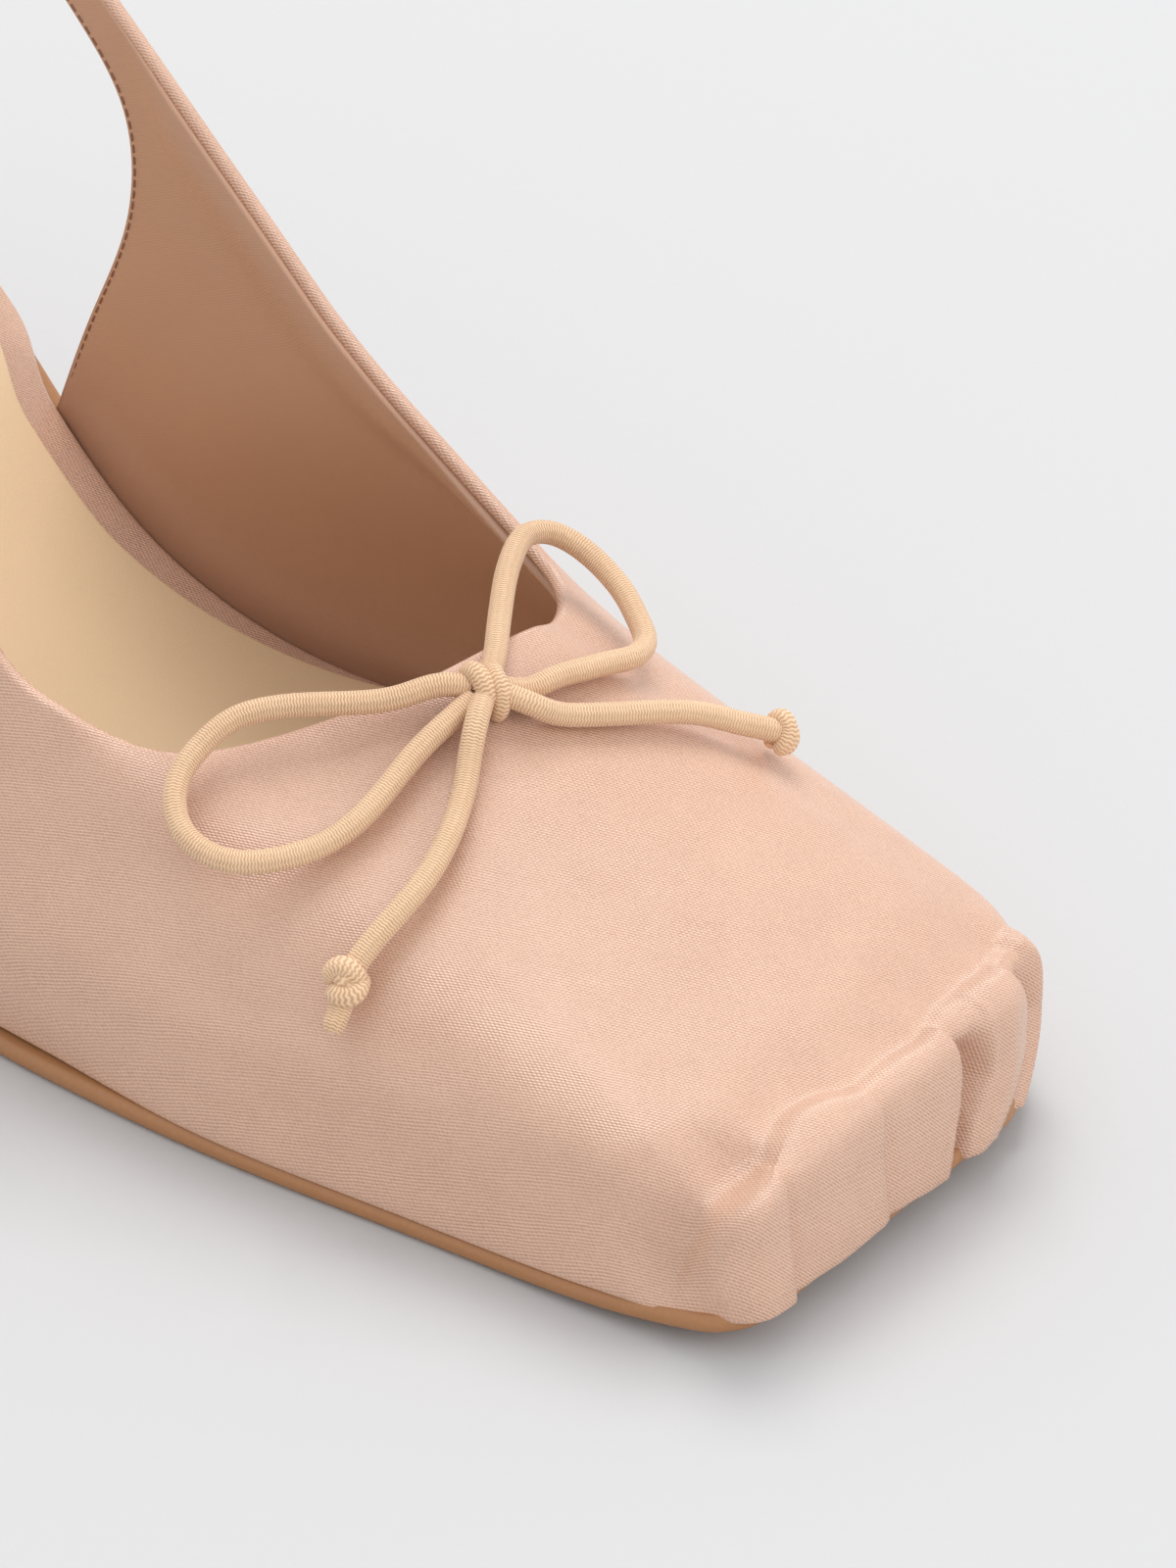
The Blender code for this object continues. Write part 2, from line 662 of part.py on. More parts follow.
def cord_line(route):
    """Points at an even step along a smooth curve through a route."""
    route = np.array(route)
    run = np.concatenate([[0], np.cumsum(np.linalg.norm(np.diff(route, axis=0), axis=1))])
    count = max(3, int(np.ceil(run[-1] / (CORD_STEP * CORD_DIAMETER))) + 1)
    return spline(run, route)(np.linspace(0, run[-1], count))


def build_cord(name, route, material, collection):
    """One stretch of the round cord, as a tube with filled ends."""
    line = cord_line(route)
    curve = bpy.data.curves.new(name, "CURVE")
    curve.dimensions = "3D"
    curve.bevel_depth = CORD_DIAMETER / 2
    curve.bevel_resolution = 2
    curve.use_fill_caps = True
    path = curve.splines.new("POLY")
    path.points.add(len(line) - 1)
    for point, place_at in zip(path.points, line):
        point.co = (*place_at, 1)
    curve.materials.append(material)
    item = bpy.data.objects.new(name, curve)
    collection.objects.link(item)


def build_knot(name, middle, size, upright, material, collection):
    """A knot's outer shape: a ball drawn out to three half sizes, its long or flat axis upright."""
    form = bmesh.new()
    bmesh.ops.create_uvsphere(form, u_segments=12, v_segments=8, radius=1)
    turn = Vector(upright).to_track_quat("Z", "Y").to_matrix().to_4x4()
    form.transform(Matrix.Translation(middle) @ turn @ Matrix.Diagonal((*size, 1)))
    mesh = bpy.data.meshes.new(name)
    form.to_mesh(mesh)
    form.free()
    mesh.shade_smooth()
    mesh.materials.append(material)
    collection.objects.link(bpy.data.objects.new(name, mesh))


def build_bow(material, collection):
    """Bow of round cord: knot, two loops, and two tails that end in small knots."""
    build_knot("bow_knot", BOW_KNOT, BOW_KNOT_SIZE, BOW_KNOT_UP, material, collection)
    build_cord("bow_loop_near", BOW_LOOP_NEAR, material, collection)
    build_cord("bow_loop_far", BOW_LOOP_FAR, material, collection)
    for name, route, end, middle in (
        ("bow_tail_near", BOW_TAIL_NEAR, "end_knot_near", NEAR_END_KNOT),
        ("bow_tail_far", BOW_TAIL_FAR, "end_knot_far", FAR_END_KNOT),
    ):
        build_cord(name, route, material, collection)
        build_knot(end, middle, END_KNOT_SIZE, np.subtract(middle, route[-2]), material, collection)


def main():
    for item in list(bpy.data.objects):
        bpy.data.objects.remove(item)
    shoe = bpy.data.collections.new("slingback_pump")
    bpy.context.scene.collection.children.link(shoe)
    satin = finish("satin", SATIN, 0.45)
    build_outsole(finish("sole_leather", SOLE_TAN, 0.5), shoe)
    build_board(satin, shoe)
    build_sock(finish("sock_leather", SOCK_CREAM, 0.6), shoe)
    build_heel(satin, shoe)
    build_heel_tip(finish("tip_rubber", RUBBER, 0.7), shoe)
    build_upper(satin, shoe)
    build_bow(finish("cord", CORD_NUDE, 0.8), shoe)


main()
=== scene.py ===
"""Looks of the slingback pump: satin upper on a thin tan sole, with a bow of round cord.

The last is worked out from the same driving sizes and tables of shares as the solids: an outline in
plan, a side profile for its bottom, and sections from the sole's edge to the topline. The fine
surfaces follow it, with the gathers of the toe and the creases laid over it as soft troughs and
ridges. Lengths are in metres, +X points to the toe and +Y to the inner (medial) side of the foot.
"""

import bmesh
import bpy
import numpy as np
from mathutils import Matrix, Vector


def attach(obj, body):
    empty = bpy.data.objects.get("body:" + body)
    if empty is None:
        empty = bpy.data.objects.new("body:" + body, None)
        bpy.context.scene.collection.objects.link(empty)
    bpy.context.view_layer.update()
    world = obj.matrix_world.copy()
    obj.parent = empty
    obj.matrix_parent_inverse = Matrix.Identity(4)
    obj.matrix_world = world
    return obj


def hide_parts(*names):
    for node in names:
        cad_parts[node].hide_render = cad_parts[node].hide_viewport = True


bl_info = {
    "name": "Slingback Pump",
    "version": (1, 0, 0),
    "blender": (4, 5, 0),
    "location": "View3D > Sidebar > Pump",
    "description": "Satin slingback pump with a cord bow, on a pale studio floor",
    "category": "Add Mesh",
}

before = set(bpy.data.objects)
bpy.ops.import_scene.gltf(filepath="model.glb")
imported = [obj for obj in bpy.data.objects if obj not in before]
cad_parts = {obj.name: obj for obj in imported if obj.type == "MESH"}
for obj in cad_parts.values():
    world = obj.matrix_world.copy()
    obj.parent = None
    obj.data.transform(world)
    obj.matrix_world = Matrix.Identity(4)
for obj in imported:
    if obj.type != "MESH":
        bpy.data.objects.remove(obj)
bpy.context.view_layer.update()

# Driving sizes of the last, as in the solids
LENGTH = 0.232
BALL_WIDTH = 0.0775
HEEL_HEIGHT = 0.078
COLLAR_HEIGHT = 0.054
TOE_SPRING = 0.0032
TOE_CORNERS = (0.0051, 0.0125)  # lateral, medial radius; the solids have 0.0110 there
SEAT_ROUND = 0.030
OUTSOLE_THICKNESS = 0.0023
BOARD_THICKNESS = 0.0026
SOCK_THICKNESS = 0.0009
UPPER_WALL = 0.0016
GAP = 0.0003
FEATHER_INSET = 0.0013
SEAT_INSET = 0.0009
RIM_WIDTH = 0.0045
SLING_WIDTH = 0.0047
HEEL_TOP_DEPTH = 0.046
HEEL_TIP_DEPTH = 0.022
HEEL_TIP_WIDTH = 0.024
HEEL_TIP_BACK = 0.0075
HEEL_TIP_THICKNESS = 0.005
HEEL_INSET = 0.0012
HEEL_WAIST = 1.7
HEEL_SEAT_POWER = 0.8
HEEL_TIP_POWER = 0.7
HEEL_SIDE_POWER = 0.75
HEEL_POINTS = 64
SEAT_CURVE = 2.3
SLING_SHIFT = 1.6
SPRING_START = 0.16
QUARTER_END = 0.608
BOARD_LEAVES = 0.611
BOARD_OUT = 0.645
RIM_START = 0.36
RIM_FULL = 0.56

# Sole outline: place back from the toe (share of LENGTH), lateral and medial reach (of BALL_WIDTH)
OUTLINE = (
    # back, lateral, medial
    (0.000, 0.370, 0.328),
    (0.052, 0.405, 0.386),
    (0.129, 0.431, 0.431),
    (0.259, 0.483, 0.477),
    (0.345, 0.500, 0.500),
    (0.453, 0.483, 0.437),
    (0.560, 0.395, 0.360),
    (0.668, 0.324, 0.382),
    (0.776, 0.286, 0.390),
    (0.884, 0.286, 0.382),
    (1.000, 0.279, 0.354),
)

# Side profile of the sole's bottom: place back (of LENGTH), rise (of HEEL_HEIGHT)
SHANK = (
    # back, rise
    (0.300, 0.000),
    (0.400, 0.000),
    (0.431, 0.008),
    (0.474, 0.044),
    (0.560, 0.195),
    (0.647, 0.415),
    (0.733, 0.590),
    (0.819, 0.750),
    (0.905, 0.888),
    (1.000, 1.000),
)

# Sections of the upper: place along the sole's edge, swell of the side (of BALL_WIDTH), and how far
# in and up each is, from the sole's edge (0) to the topline (1)
SECTIONS = (
    # edge, belly, wall_in, wall_up, knee_in, knee_up, middle_in, middle_up, upper_in, upper_up
    (0.000, 0.022, 0.00, 0.37, 0.045, 0.420, 0.35, 0.575, 0.70, 0.810),
    (0.060, 0.022, 0.00, 0.37, 0.045, 0.420, 0.35, 0.575, 0.70, 0.810),
    (0.115, 0.020, 0.00, 0.37, 0.045, 0.420, 0.35, 0.575, 0.70, 0.810),
    (0.145, 0.014, 0.00, 0.37, 0.050, 0.425, 0.35, 0.585, 0.70, 0.820),
    (0.175, 0.008, 0.00, 0.38, 0.055, 0.440, 0.35, 0.605, 0.70, 0.835),
    (0.240, 0.006, 0.00, 0.38, 0.070, 0.460, 0.36, 0.640, 0.70, 0.850),
    (0.340, 0.008, 0.00, 0.36, 0.100, 0.460, 0.40, 0.635, 0.72, 0.820),
    (0.460, 0.012, 0.01, 0.34, 0.150, 0.430, 0.45, 0.610, 0.75, 0.785),
    (0.590, 0.018, 0.03, 0.33, 0.200, 0.465, 0.50, 0.640, 0.78, 0.815),
    (0.720, 0.020, 0.06, 0.32, 0.250, 0.490, 0.50, 0.680, 0.78, 0.850),
    (0.850, 0.018, 0.12, 0.32, 0.300, 0.500, 0.55, 0.680, 0.80, 0.850),
    (0.940, 0.012, 0.22, 0.32, 0.380, 0.490, 0.60, 0.670, 0.82, 0.840),
    (1.000, 0.008, 0.31, 0.32, 0.460, 0.480, 0.65, 0.660, 0.83, 0.830),
)
EVEN_SECTION = (0.0, 0.32, 0.32, 0.48, 0.48, 0.66, 0.66, 0.83, 0.83)

# Topline beside each section and along the quarter's back edge: back (of LENGTH), reach from the
# centre line (of BALL_WIDTH) and height above the sole (of COLLAR_HEIGHT)
TOPLINE = (
    # lateral: back, out, up; medial: back, out, up
    (0.2651, 0.000, 0.767, 0.2651, 0.000, 0.767),
    (0.2737, 0.067, 0.750, 0.2612, 0.067, 0.770),
    (0.2845, 0.123, 0.728, 0.2585, 0.130, 0.765),
    (0.2953, 0.161, 0.707, 0.2600, 0.172, 0.744),
    (0.3060, 0.199, 0.689, 0.2640, 0.214, 0.715),
    (0.3233, 0.265, 0.674, 0.2750, 0.271, 0.700),
    (0.3440, 0.329, 0.689, 0.2985, 0.329, 0.697),
    (0.3707, 0.374, 0.735, 0.3340, 0.354, 0.756),
    (0.3850, 0.385, 0.752, 0.3620, 0.359, 0.821),
    (0.4000, 0.390, 0.775, 0.3850, 0.362, 0.876),
    (0.4150, 0.392, 0.811, 0.4050, 0.366, 0.924),
    (0.4280, 0.392, 0.852, 0.4220, 0.369, 0.964),
    (0.4430, 0.391, 0.903, 0.4400, 0.373, 1.005),
    (0.4700, 0.387, 0.997, 0.4700, 0.381, 1.066),
    (0.5050, 0.384, 1.095, 0.5050, 0.388, 1.116),
    (0.5450, 0.384, 1.152, 0.5450, 0.391, 1.156),
    (0.5850, 0.387, 1.167, 0.5850, 0.391, 1.167),
)

# Back edge of the quarter, from the sole up to the sling band, in the same shares
QUARTER_BACK = (
    # back, out, up
    (0.5828, 0.366, 0.374),
    (0.5621, 0.380, 0.693),
    (0.5612, 0.387, 0.936),
    (0.5905, 0.388, 1.022),
)

# Upper edge of the sling band, on to the middle of the heel, in the same shares
SLING = (
    # back, out, up
    (0.6336, 0.386, 1.144),
    (0.6724, 0.376, 1.108),
    (0.7414, 0.348, 1.045),
    (0.8190, 0.307, 0.986),
    (0.8879, 0.243, 0.936),
    (0.9397, 0.155, 0.911),
    (0.9677, 0.071, 0.899),
    (0.9741, 0.000, 0.896),
)

# Columns of the fine surface between one section and the next
SATIN_COLUMNS = (34, 32, 17, 17, 24, 22, 18, 16, 16, 16, 12, 8, 10, 10, 10, 10, 10, 3, 5, 8, 9, 9, 8, 6)
LINING_COLUMNS = (8, 8, 5, 6, 8, 10, 12, 13, 13, 13, 12, 10, 10, 10, 10, 10, 8, 4, 5, 8, 9, 9, 8, 6)

# The toe's gathers as lobes of satin that overlap: place along the sole's edge from the toe's middle
# at the sole and at the ridge (of BALL_WIDTH), and how far the satin stands out (of UPPER_WALL)
TOE_LOBES = (
    # at_sole, at_ridge, out
    (-0.520, -0.520, 0.00),
    (-0.440, -0.440, 0.10),
    (-0.345, -0.345, 0.30),
    (-0.300, -0.300, 0.55),
    (-0.278, -0.272, 0.55),
    (-0.266, -0.260, -0.15),
    (-0.238, -0.238, 0.05),
    (-0.160, -0.160, 0.30),
    (-0.085, -0.085, 0.25),
    (-0.074, -0.074, 0.18),
    (-0.066, -0.066, -0.25),
    (-0.030, -0.030, 0.05),
    (0.020, 0.030, 0.34),
    (0.044, 0.078, 0.42),
    (0.056, 0.093, -3.00),
    (0.076, 0.122, -2.20),
    (0.092, 0.160, 0.20),
    (0.110, 0.200, 0.50),
    (0.140, 0.238, 0.35),
    (0.158, 0.256, -2.60),
    (0.180, 0.282, -1.90),
    (0.215, 0.318, 1.10),
    (0.300, 0.390, 1.50),
    (0.440, 0.480, 0.80),
    (0.640, 0.660, 0.00),
)

# Creases along paths on the last: back (of LENGTH), across (of BALL_WIDTH), up (of COLLAR_HEIGHT)
TOE_RIDGE = (
    # back, across, up
    (0.008, -0.300, 0.340),
    (0.013, -0.255, 0.358),
    (0.019, -0.210, 0.373),
    (0.021, -0.187, 0.377),
    (0.020, -0.156, 0.379),
    (0.017, -0.126, 0.376),
    (0.012, -0.097, 0.371),
    (0.011, -0.068, 0.370),
    (0.011, -0.010, 0.373),
    (0.009, 0.031, 0.372),
    (0.010, 0.071, 0.374),
    (0.015, 0.115, 0.384),
    (0.015, 0.147, 0.383),
    (0.015, 0.178, 0.382),
    (0.015, 0.211, 0.378),
    (0.019, 0.248, 0.378),
    (0.023, 0.285, 0.364),
    (0.028, 0.330, 0.330),
)
CORNER_RIDGE = (
    # back, across, up
    (0.020, -0.370, 0.085),
    (0.017, -0.367, 0.150),
    (0.012, -0.360, 0.231),
    (0.008, -0.336, 0.295),
    (0.010, -0.282, 0.345),
    (0.015, -0.240, 0.364),
)
CORNER_HOLLOW = (
    # back, across, up
    (0.044, -0.388, 0.060),
    (0.040, -0.386, 0.130),
    (0.036, -0.383, 0.200),
    (0.030, -0.376, 0.280),
    (0.024, -0.345, 0.350),
    (0.021, -0.290, 0.372),
    (0.024, -0.220, 0.385),
)
HOLLOW_DEPTH = 0.0040
HOLLOW_WIDTH = 0.0056  # towards the heel
HOLLOW_STEEP = 0.0027  # towards the toe
HOLLOW_DIRECTION = (-0.30, 0.60, -0.74)
TAIL_FOLD = (
    # back, across, up
    (0.172, -0.116, 0.598),
    (0.179, -0.232, 0.556),
    (0.181, -0.352, 0.472),
    (0.185, -0.400, 0.393),
    (0.184, -0.434, 0.307),
)
THROAT_FOLD = (
    # back, across, up
    (0.212, -0.129, 0.626),
    (0.207, -0.243, 0.578),
    (0.203, -0.326, 0.520),
    (0.204, -0.372, 0.465),
)
CREASES = (
    # path, set to its left, height, width on its left, width on its right, faded share at each end
    (TOE_RIDGE, 0.0021, -0.00140, 0.0044, 0.0017, 0.10),
    (CORNER_RIDGE, 0.0, 0.00060, 0.0016, 0.0016, 0.20),
    (TAIL_FOLD, 0.0, -0.00060, 0.0042, 0.0028, 0.45),
    (THROAT_FOLD, 0.0, -0.00045, 0.0036, 0.0028, 0.45),
)
CREASE_FOOT = (0.0028, 0.0085)  # heights above the sole between which the creases come in
CREASE_AT_FOOT = 0.15
HOLLOW_FADE = 0.35

# Fades of the gathers: heights above the floor in metres, places along the edge in BALL_WIDTH
LEAN_START = 0.005
LEAN_RISE = 0.007
CLOSED_AT_RIDGE = (0.0145, 0.0205)
CLOSED_AT_FOOT = (0.0095, 0.0055)
CALM_PLACE = (0.27, 0.33)
CALM_HEIGHT = (0.0135, 0.0065)
FOOT_OUT = 0.0017
FOOT_HEIGHT = (0.005, 0.014)
BEHIND_RIDGE = (-0.0010, 0.0028)

# The satin's spread along the sides, and how far it hangs over the sole's edge
SPREAD_OUT = 0.0011
SPREAD_FROM = (0.34, 0.46)
SPREAD_TO = (1.45, 1.1)
SPREAD_ABOVE = 0.0026
SPREAD_FALL = 0.0050
HANG_HEIGHT = (0.0026, 0.0105)
HANG_SIDE = 0.0004
HANG_TOE = 0.0009

# Rows of the fine surfaces, closest where the satin folds: extra rows, share up the girth, width
FACE_ROWS = 112
ROW_DENSITY = (
    (2.4, 0.42, 0.10),
    (0.8, 0.0, 0.15),
)
HIDDEN_ROWS = (102, 5, 12)  # first, last and number of the rows behind the satin's face
LINING_ROWS = 70
ROLL_BELOW = 0.0034
ROLL_WIDTH = 0.0030
LINING_SWELL = 0.0006
STITCH_INSET = 0.0009
STITCH_SHARE = 0.68
THREAD_RADIUS = 0.00013
FLAT_POINTS = 24
EDGE_POINTS = 9

# Rings of the rubber top piece: height in metres, share of the heel's outline
TIP_RINGS = ((0, 0.975), (0.0002, 0.992), (0.0005, 1), (0.0045, 1), (0.0049, 0.994), (0.005, 0.98))

# Bow of round cord: routes as in the solids, in metres
CORD_DIAMETER = 0.0025
BOW_KNOT = (0.0597, -0.0002, 0.0428)
NEAR_END_KNOT = (0.0675, -0.0326, 0.0252)
FAR_END_KNOT = (0.0807, 0.0232, 0.0320)
BOW_LOOP_NEAR = (
    (0.0563, -0.0033, 0.0433),
    (0.0538, -0.0068, 0.0426),
    (0.0508, -0.0104, 0.0421),
    (0.0477, -0.0135, 0.0417),
    (0.0449, -0.0168, 0.0412),
    (0.0430, -0.0200, 0.0404),
    (0.0421, -0.0236, 0.0390),
    (0.0422, -0.0268, 0.0376),
    (0.0434, -0.0295, 0.0360),
    (0.0458, -0.0312, 0.0343),
    (0.0489, -0.0313, 0.0331),
    (0.0522, -0.0300, 0.0326),
    (0.0551, -0.0274, 0.0328),
    (0.0575, -0.0240, 0.0335),
    (0.0588, -0.0206, 0.0346),
    (0.0593, -0.0171, 0.0360),
    (0.0593, -0.0137, 0.0374),
    (0.0592, -0.0107, 0.0388),
    (0.0591, -0.0078, 0.0401),
    (0.0591, -0.0052, 0.0412),
)
BOW_LOOP_FAR = (
    (0.0573, 0.0041, 0.0434),
    (0.0553, 0.0070, 0.0440),
    (0.0531, 0.0102, 0.0443),
    (0.0511, 0.0133, 0.0445),
    (0.0493, 0.0168, 0.0446),
    (0.0484, 0.0202, 0.0443),
    (0.0493, 0.0227, 0.0436),
    (0.0516, 0.0240, 0.0425),
    (0.0550, 0.0242, 0.0411),
    (0.0589, 0.0232, 0.0398),
    (0.0621, 0.0215, 0.0388),
    (0.0645, 0.0196, 0.0383),
    (0.0655, 0.0168, 0.0385),
    (0.0651, 0.0134, 0.0393),
    (0.0641, 0.0098, 0.0402),
    (0.0629, 0.0062, 0.0411),
    (0.0621, 0.0041, 0.0415),
)
BOW_TAIL_NEAR = (
    (0.0620, -0.0045, 0.0418),
    (0.0631, -0.0068, 0.0396),
    (0.0644, -0.0090, 0.0379),
    (0.0657, -0.0114, 0.0366),
    (0.0670, -0.0142, 0.0353),
    (0.0681, -0.0176, 0.0338),
    (0.0686, -0.0211, 0.0324),
    (0.0685, -0.0246, 0.0309),
    (0.0681, -0.0277, 0.0292),
    (0.0678, -0.0301, 0.0275),
)
BOW_TAIL_FAR = (
    (0.0639, 0.0016, 0.0418),
    (0.0656, 0.0034, 0.0404),
    (0.0677, 0.0060, 0.0393),
    (0.0703, 0.0096, 0.0382),
    (0.0728, 0.0133, 0.0370),
    (0.0752, 0.0168, 0.0354),
    (0.0771, 0.0191, 0.0341),
    (0.0785, 0.0207, 0.0333),
)

# Strands of the knots, in millimetres to the right, up and forward as the camera sees them
BOW_STRANDS = (
    # radius, path
    (1.10, (
        (-1.9, -0.5, -1.4), (-1.6, 0.2, -0.2), (-0.9, 0.0, 0.9),
        (-0.2, -1.1, 1.3), (0.2, -2.3, 0.9), (0.3, -3.2, -0.3),
    )),
    (1.00, (
        (0.6, 0.5, -0.8), (1.0, -0.3, 0.5), (1.5, -1.3, 0.95),
        (1.7, -2.5, 0.9), (1.4, -3.6, 0.4), (1.0, -4.1, -0.8),
    )),
    (0.85, ((-2.4, -2.3, -0.8), (-1.6, -2.4, 0.1), (-0.8, -2.6, 0.1), (-0.1, -2.8, -0.8))),
)
NEAR_STRANDS = (
    # radius, path
    (1.15, ((-0.6, 1.0, -0.9), (-0.3, 2.2, 0.2), (0.7, 2.5, 0.9), (1.6, 1.8, 0.8), (2.0, 0.8, -0.4))),
    (1.15, ((2.1, 1.7, -0.7), (2.0, 0.5, 0.5), (1.3, -0.3, 1.1), (0.3, -0.3, 0.8), (-0.4, 0.3, -0.6))),
    (1.10, ((0.0, 2.0, -0.3), (0.5, 1.5, 0.5), (1.0, 0.9, 0.7), (1.4, 0.4, 0.0))),
    (1.20, ((0.9, 0.6, -0.3), (0.4, -1.0, -0.1), (-0.1, -2.4, 0.1), (-0.7, -4.0, 0.3))),
)
FAR_STRANDS = (
    # radius, path
    (0.95, (
        (-2.0, -1.3, -0.9), (-1.6, 0.2, -1.2), (-1.4, 1.5, -0.3), (-0.6, 1.6, 0.6),
        (-0.1, 0.4, 0.9), (-0.5, -1.0, 0.8), (-1.3, -1.7, 0.1),
    )),
    (1.00, ((-2.0, 0.8, -0.8), (-0.9, 1.0, -0.7), (0.0, 0.3, -0.2), (-0.1, -0.9, 0.1), (-1.0, -1.6, 0.3))),
    (1.00, ((-1.5, 0.1, 0.0), (-0.5, -0.3, 0.0), (0.0, -0.9, -0.6))),
)
KNOT_SAG = 0.0014  # how far the cords dip towards the knot, down the photograph
SAG_START = (1.0, 1.0, 0.8, 0.5, 0.2)
SAG_END = (0.2, 0.6, 1.0)
INTO_KNOT = 0.7  # share of the way to a knot's middle that a cord runs on

# Directions of the weave through the last, and the periods of braid and thread in metres
WEAVE_ACROSS = (-0.30, 0.74, 0.60)
WEAVE_ALONG = (0.86, 0.42, -0.10)
BRAID_WIDTH = 0.00042
THREAD_TWIST = 0.0003

# Camera: aimed at a point of the last, at the photograph's angle
VIEW_TARGET = (0.059926, 0.016105, 0.020)
LIGHT_DISTANCE = 2.4
FLOOR_HALF = 4.0


class PumpSatin(bpy.types.PropertyGroup):
    """Sizes and colours of the satin upper, its lining and its stitches."""

    fold: bpy.props.FloatProperty(
        name="Folded edge", description="Thickness of the satin folded over the topline", default=0.0016,
        unit="LENGTH", precision=5,
    )
    return_depth: bpy.props.FloatProperty(
        name="Return", description="How far the folded satin comes down inside, to the lining's edge",
        default=0.0010, unit="LENGTH", precision=5,
    )
    roll: bpy.props.FloatProperty(
        name="Roll", description="How far the padded lining swells inwards below the topline",
        default=0.0010, unit="LENGTH", precision=5,
    )
    gather: bpy.props.FloatProperty(
        name="Gathers", description="Depth of the toe's gathers, as a factor", default=1.0, subtype="FACTOR",
        min=0, max=2,
    )
    crease: bpy.props.FloatProperty(
        name="Creases", description="Depth of the creases, as a factor", default=1.0, subtype="FACTOR",
        min=0, max=2,
    )
    colour: bpy.props.FloatVectorProperty(
        name="Satin", description="Colour of the satin, linear", default=(0.755, 0.475, 0.335),
        subtype="COLOR",
    )
    shade: bpy.props.FloatVectorProperty(
        name="Satin shade", description="Colour between the threads", default=(0.43, 0.225, 0.14),
        subtype="COLOR",
    )
    lining: bpy.props.FloatVectorProperty(
        name="Lining", description="Colour of the lining", default=(0.50, 0.272, 0.165), subtype="COLOR",
    )
    # Thread colour: partly the thread's own dark brown and partly painted shade of the needle holes the
    # stitches sit in.
    thread: bpy.props.FloatVectorProperty(
        name="Thread", description="Colour of the stitches", default=(0.20, 0.09, 0.055), subtype="COLOR",
    )
    pitch: bpy.props.FloatProperty(
        name="Stitch pitch", description="Distance from one stitch to the next", default=0.0014,
        unit="LENGTH", precision=5,
    )


class PumpSole(bpy.types.PropertyGroup):
    """Sizes and colours of the sole, sock, heel and top piece."""

    bead: bpy.props.FloatProperty(
        name="Edge bead", description="Depth of the outsole's rounded edge", default=0.0009, unit="LENGTH",
        precision=5,
    )
    edge: bpy.props.FloatVectorProperty(
        name="Sole edge", description="Colour of the painted sole edge", default=(0.40, 0.185, 0.075),
        subtype="COLOR",
    )
    sock: bpy.props.FloatVectorProperty(
        name="Sock", description="Colour of the sock leather", default=(0.78, 0.575, 0.355), subtype="COLOR",
    )
    rubber: bpy.props.FloatVectorProperty(
        name="Top piece", description="Colour of the heel's rubber top piece", default=(0.18, 0.11, 0.07),
        subtype="COLOR",
    )


class PumpBow(bpy.types.PropertyGroup):
    """Sizes and colours of the cord bow."""

    diameter: bpy.props.FloatProperty(
        name="Cord", description="Diameter of the round cord", default=CORD_DIAMETER, unit="LENGTH",
        precision=5,
    )
    rib: bpy.props.FloatProperty(
        name="Rib", description="Distance from one rib of the cord to the next", default=0.00032,
        unit="LENGTH", precision=6,
    )
    colour: bpy.props.FloatVectorProperty(
        name="Cord colour", description="Colour of the cord", default=(0.86, 0.59, 0.375), subtype="COLOR",
    )
    shade: bpy.props.FloatVectorProperty(
        name="Cord shade", description="Colour between the cord's ribs", default=(0.52, 0.31, 0.17),
        subtype="COLOR",
    )


class PumpStage(bpy.types.PropertyGroup):
    """Camera, floor and lights."""

    azimuth: bpy.props.FloatProperty(
        name="Azimuth", description="Turn of the camera round the shoe, in degrees", default=38.872,
    )
    elevation: bpy.props.FloatProperty(
        name="Elevation", description="Camera's angle above the floor, in degrees", default=36.011,
    )
    roll: bpy.props.FloatProperty(
        name="Roll", description="Camera's roll, in degrees", default=0.448,
    )
    distance: bpy.props.FloatProperty(
        name="Distance", description="From the camera to its target", default=0.8, unit="LENGTH",
    )
    lens: bpy.props.FloatProperty(
        name="Lens", description="Focal length of the camera in millimetres", default=176.156,
        unit="CAMERA",
    )
    floor: bpy.props.FloatVectorProperty(
        name="Floor", description="Colour of the floor", default=(0.565, 0.565, 0.567), subtype="COLOR",
    )
    key: bpy.props.FloatProperty(
        name="Key light", description="Power of the large light behind the shoe", default=31.0, unit="POWER",
    )
    fill: bpy.props.FloatProperty(
        name="Fill light", description="Power of the soft light in front", default=13.0, unit="POWER",
    )
    sky: bpy.props.FloatProperty(
        name="Surround", description="Strength of the pale surround", default=0.97,
    )


def spline(knots, values):
    """Natural cubic spline through values at knots, as a function; values may be vectors."""
    knots = np.asarray(knots, float)
    values = np.asarray(values, float)
    step = np.diff(knots)
    slope = np.diff(values, axis=0) / step.reshape((-1,) + (1,) * (values.ndim - 1))
    count = len(knots)
    matrix = np.eye(count)
    right = np.zeros_like(values)
    for i in range(1, count - 1):
        matrix[i, i - 1] = step[i - 1]
        matrix[i, i] = 2 * (step[i - 1] + step[i])
        matrix[i, i + 1] = step[i]
        right[i] = 6 * (slope[i] - slope[i - 1])
    bend = np.linalg.solve(matrix, right.reshape(count, -1)).reshape(values.shape)

    def value(at):
        at = np.asarray(at, float)
        i = np.clip(np.searchsorted(knots, at, side="right") - 1, 0, count - 2)
        shape = at.shape + (1,) * (values.ndim - 1)
        h = step[i].reshape(shape)
        b = (at - knots[i]).reshape(shape)
        a = h - b
        curve = (bend[i] * a**3 + bend[i + 1] * b**3) / (6 * h)
        return curve + (values[i] / h - bend[i] * h / 6) * a + (values[i + 1] / h - bend[i + 1] * h / 6) * b

    return value


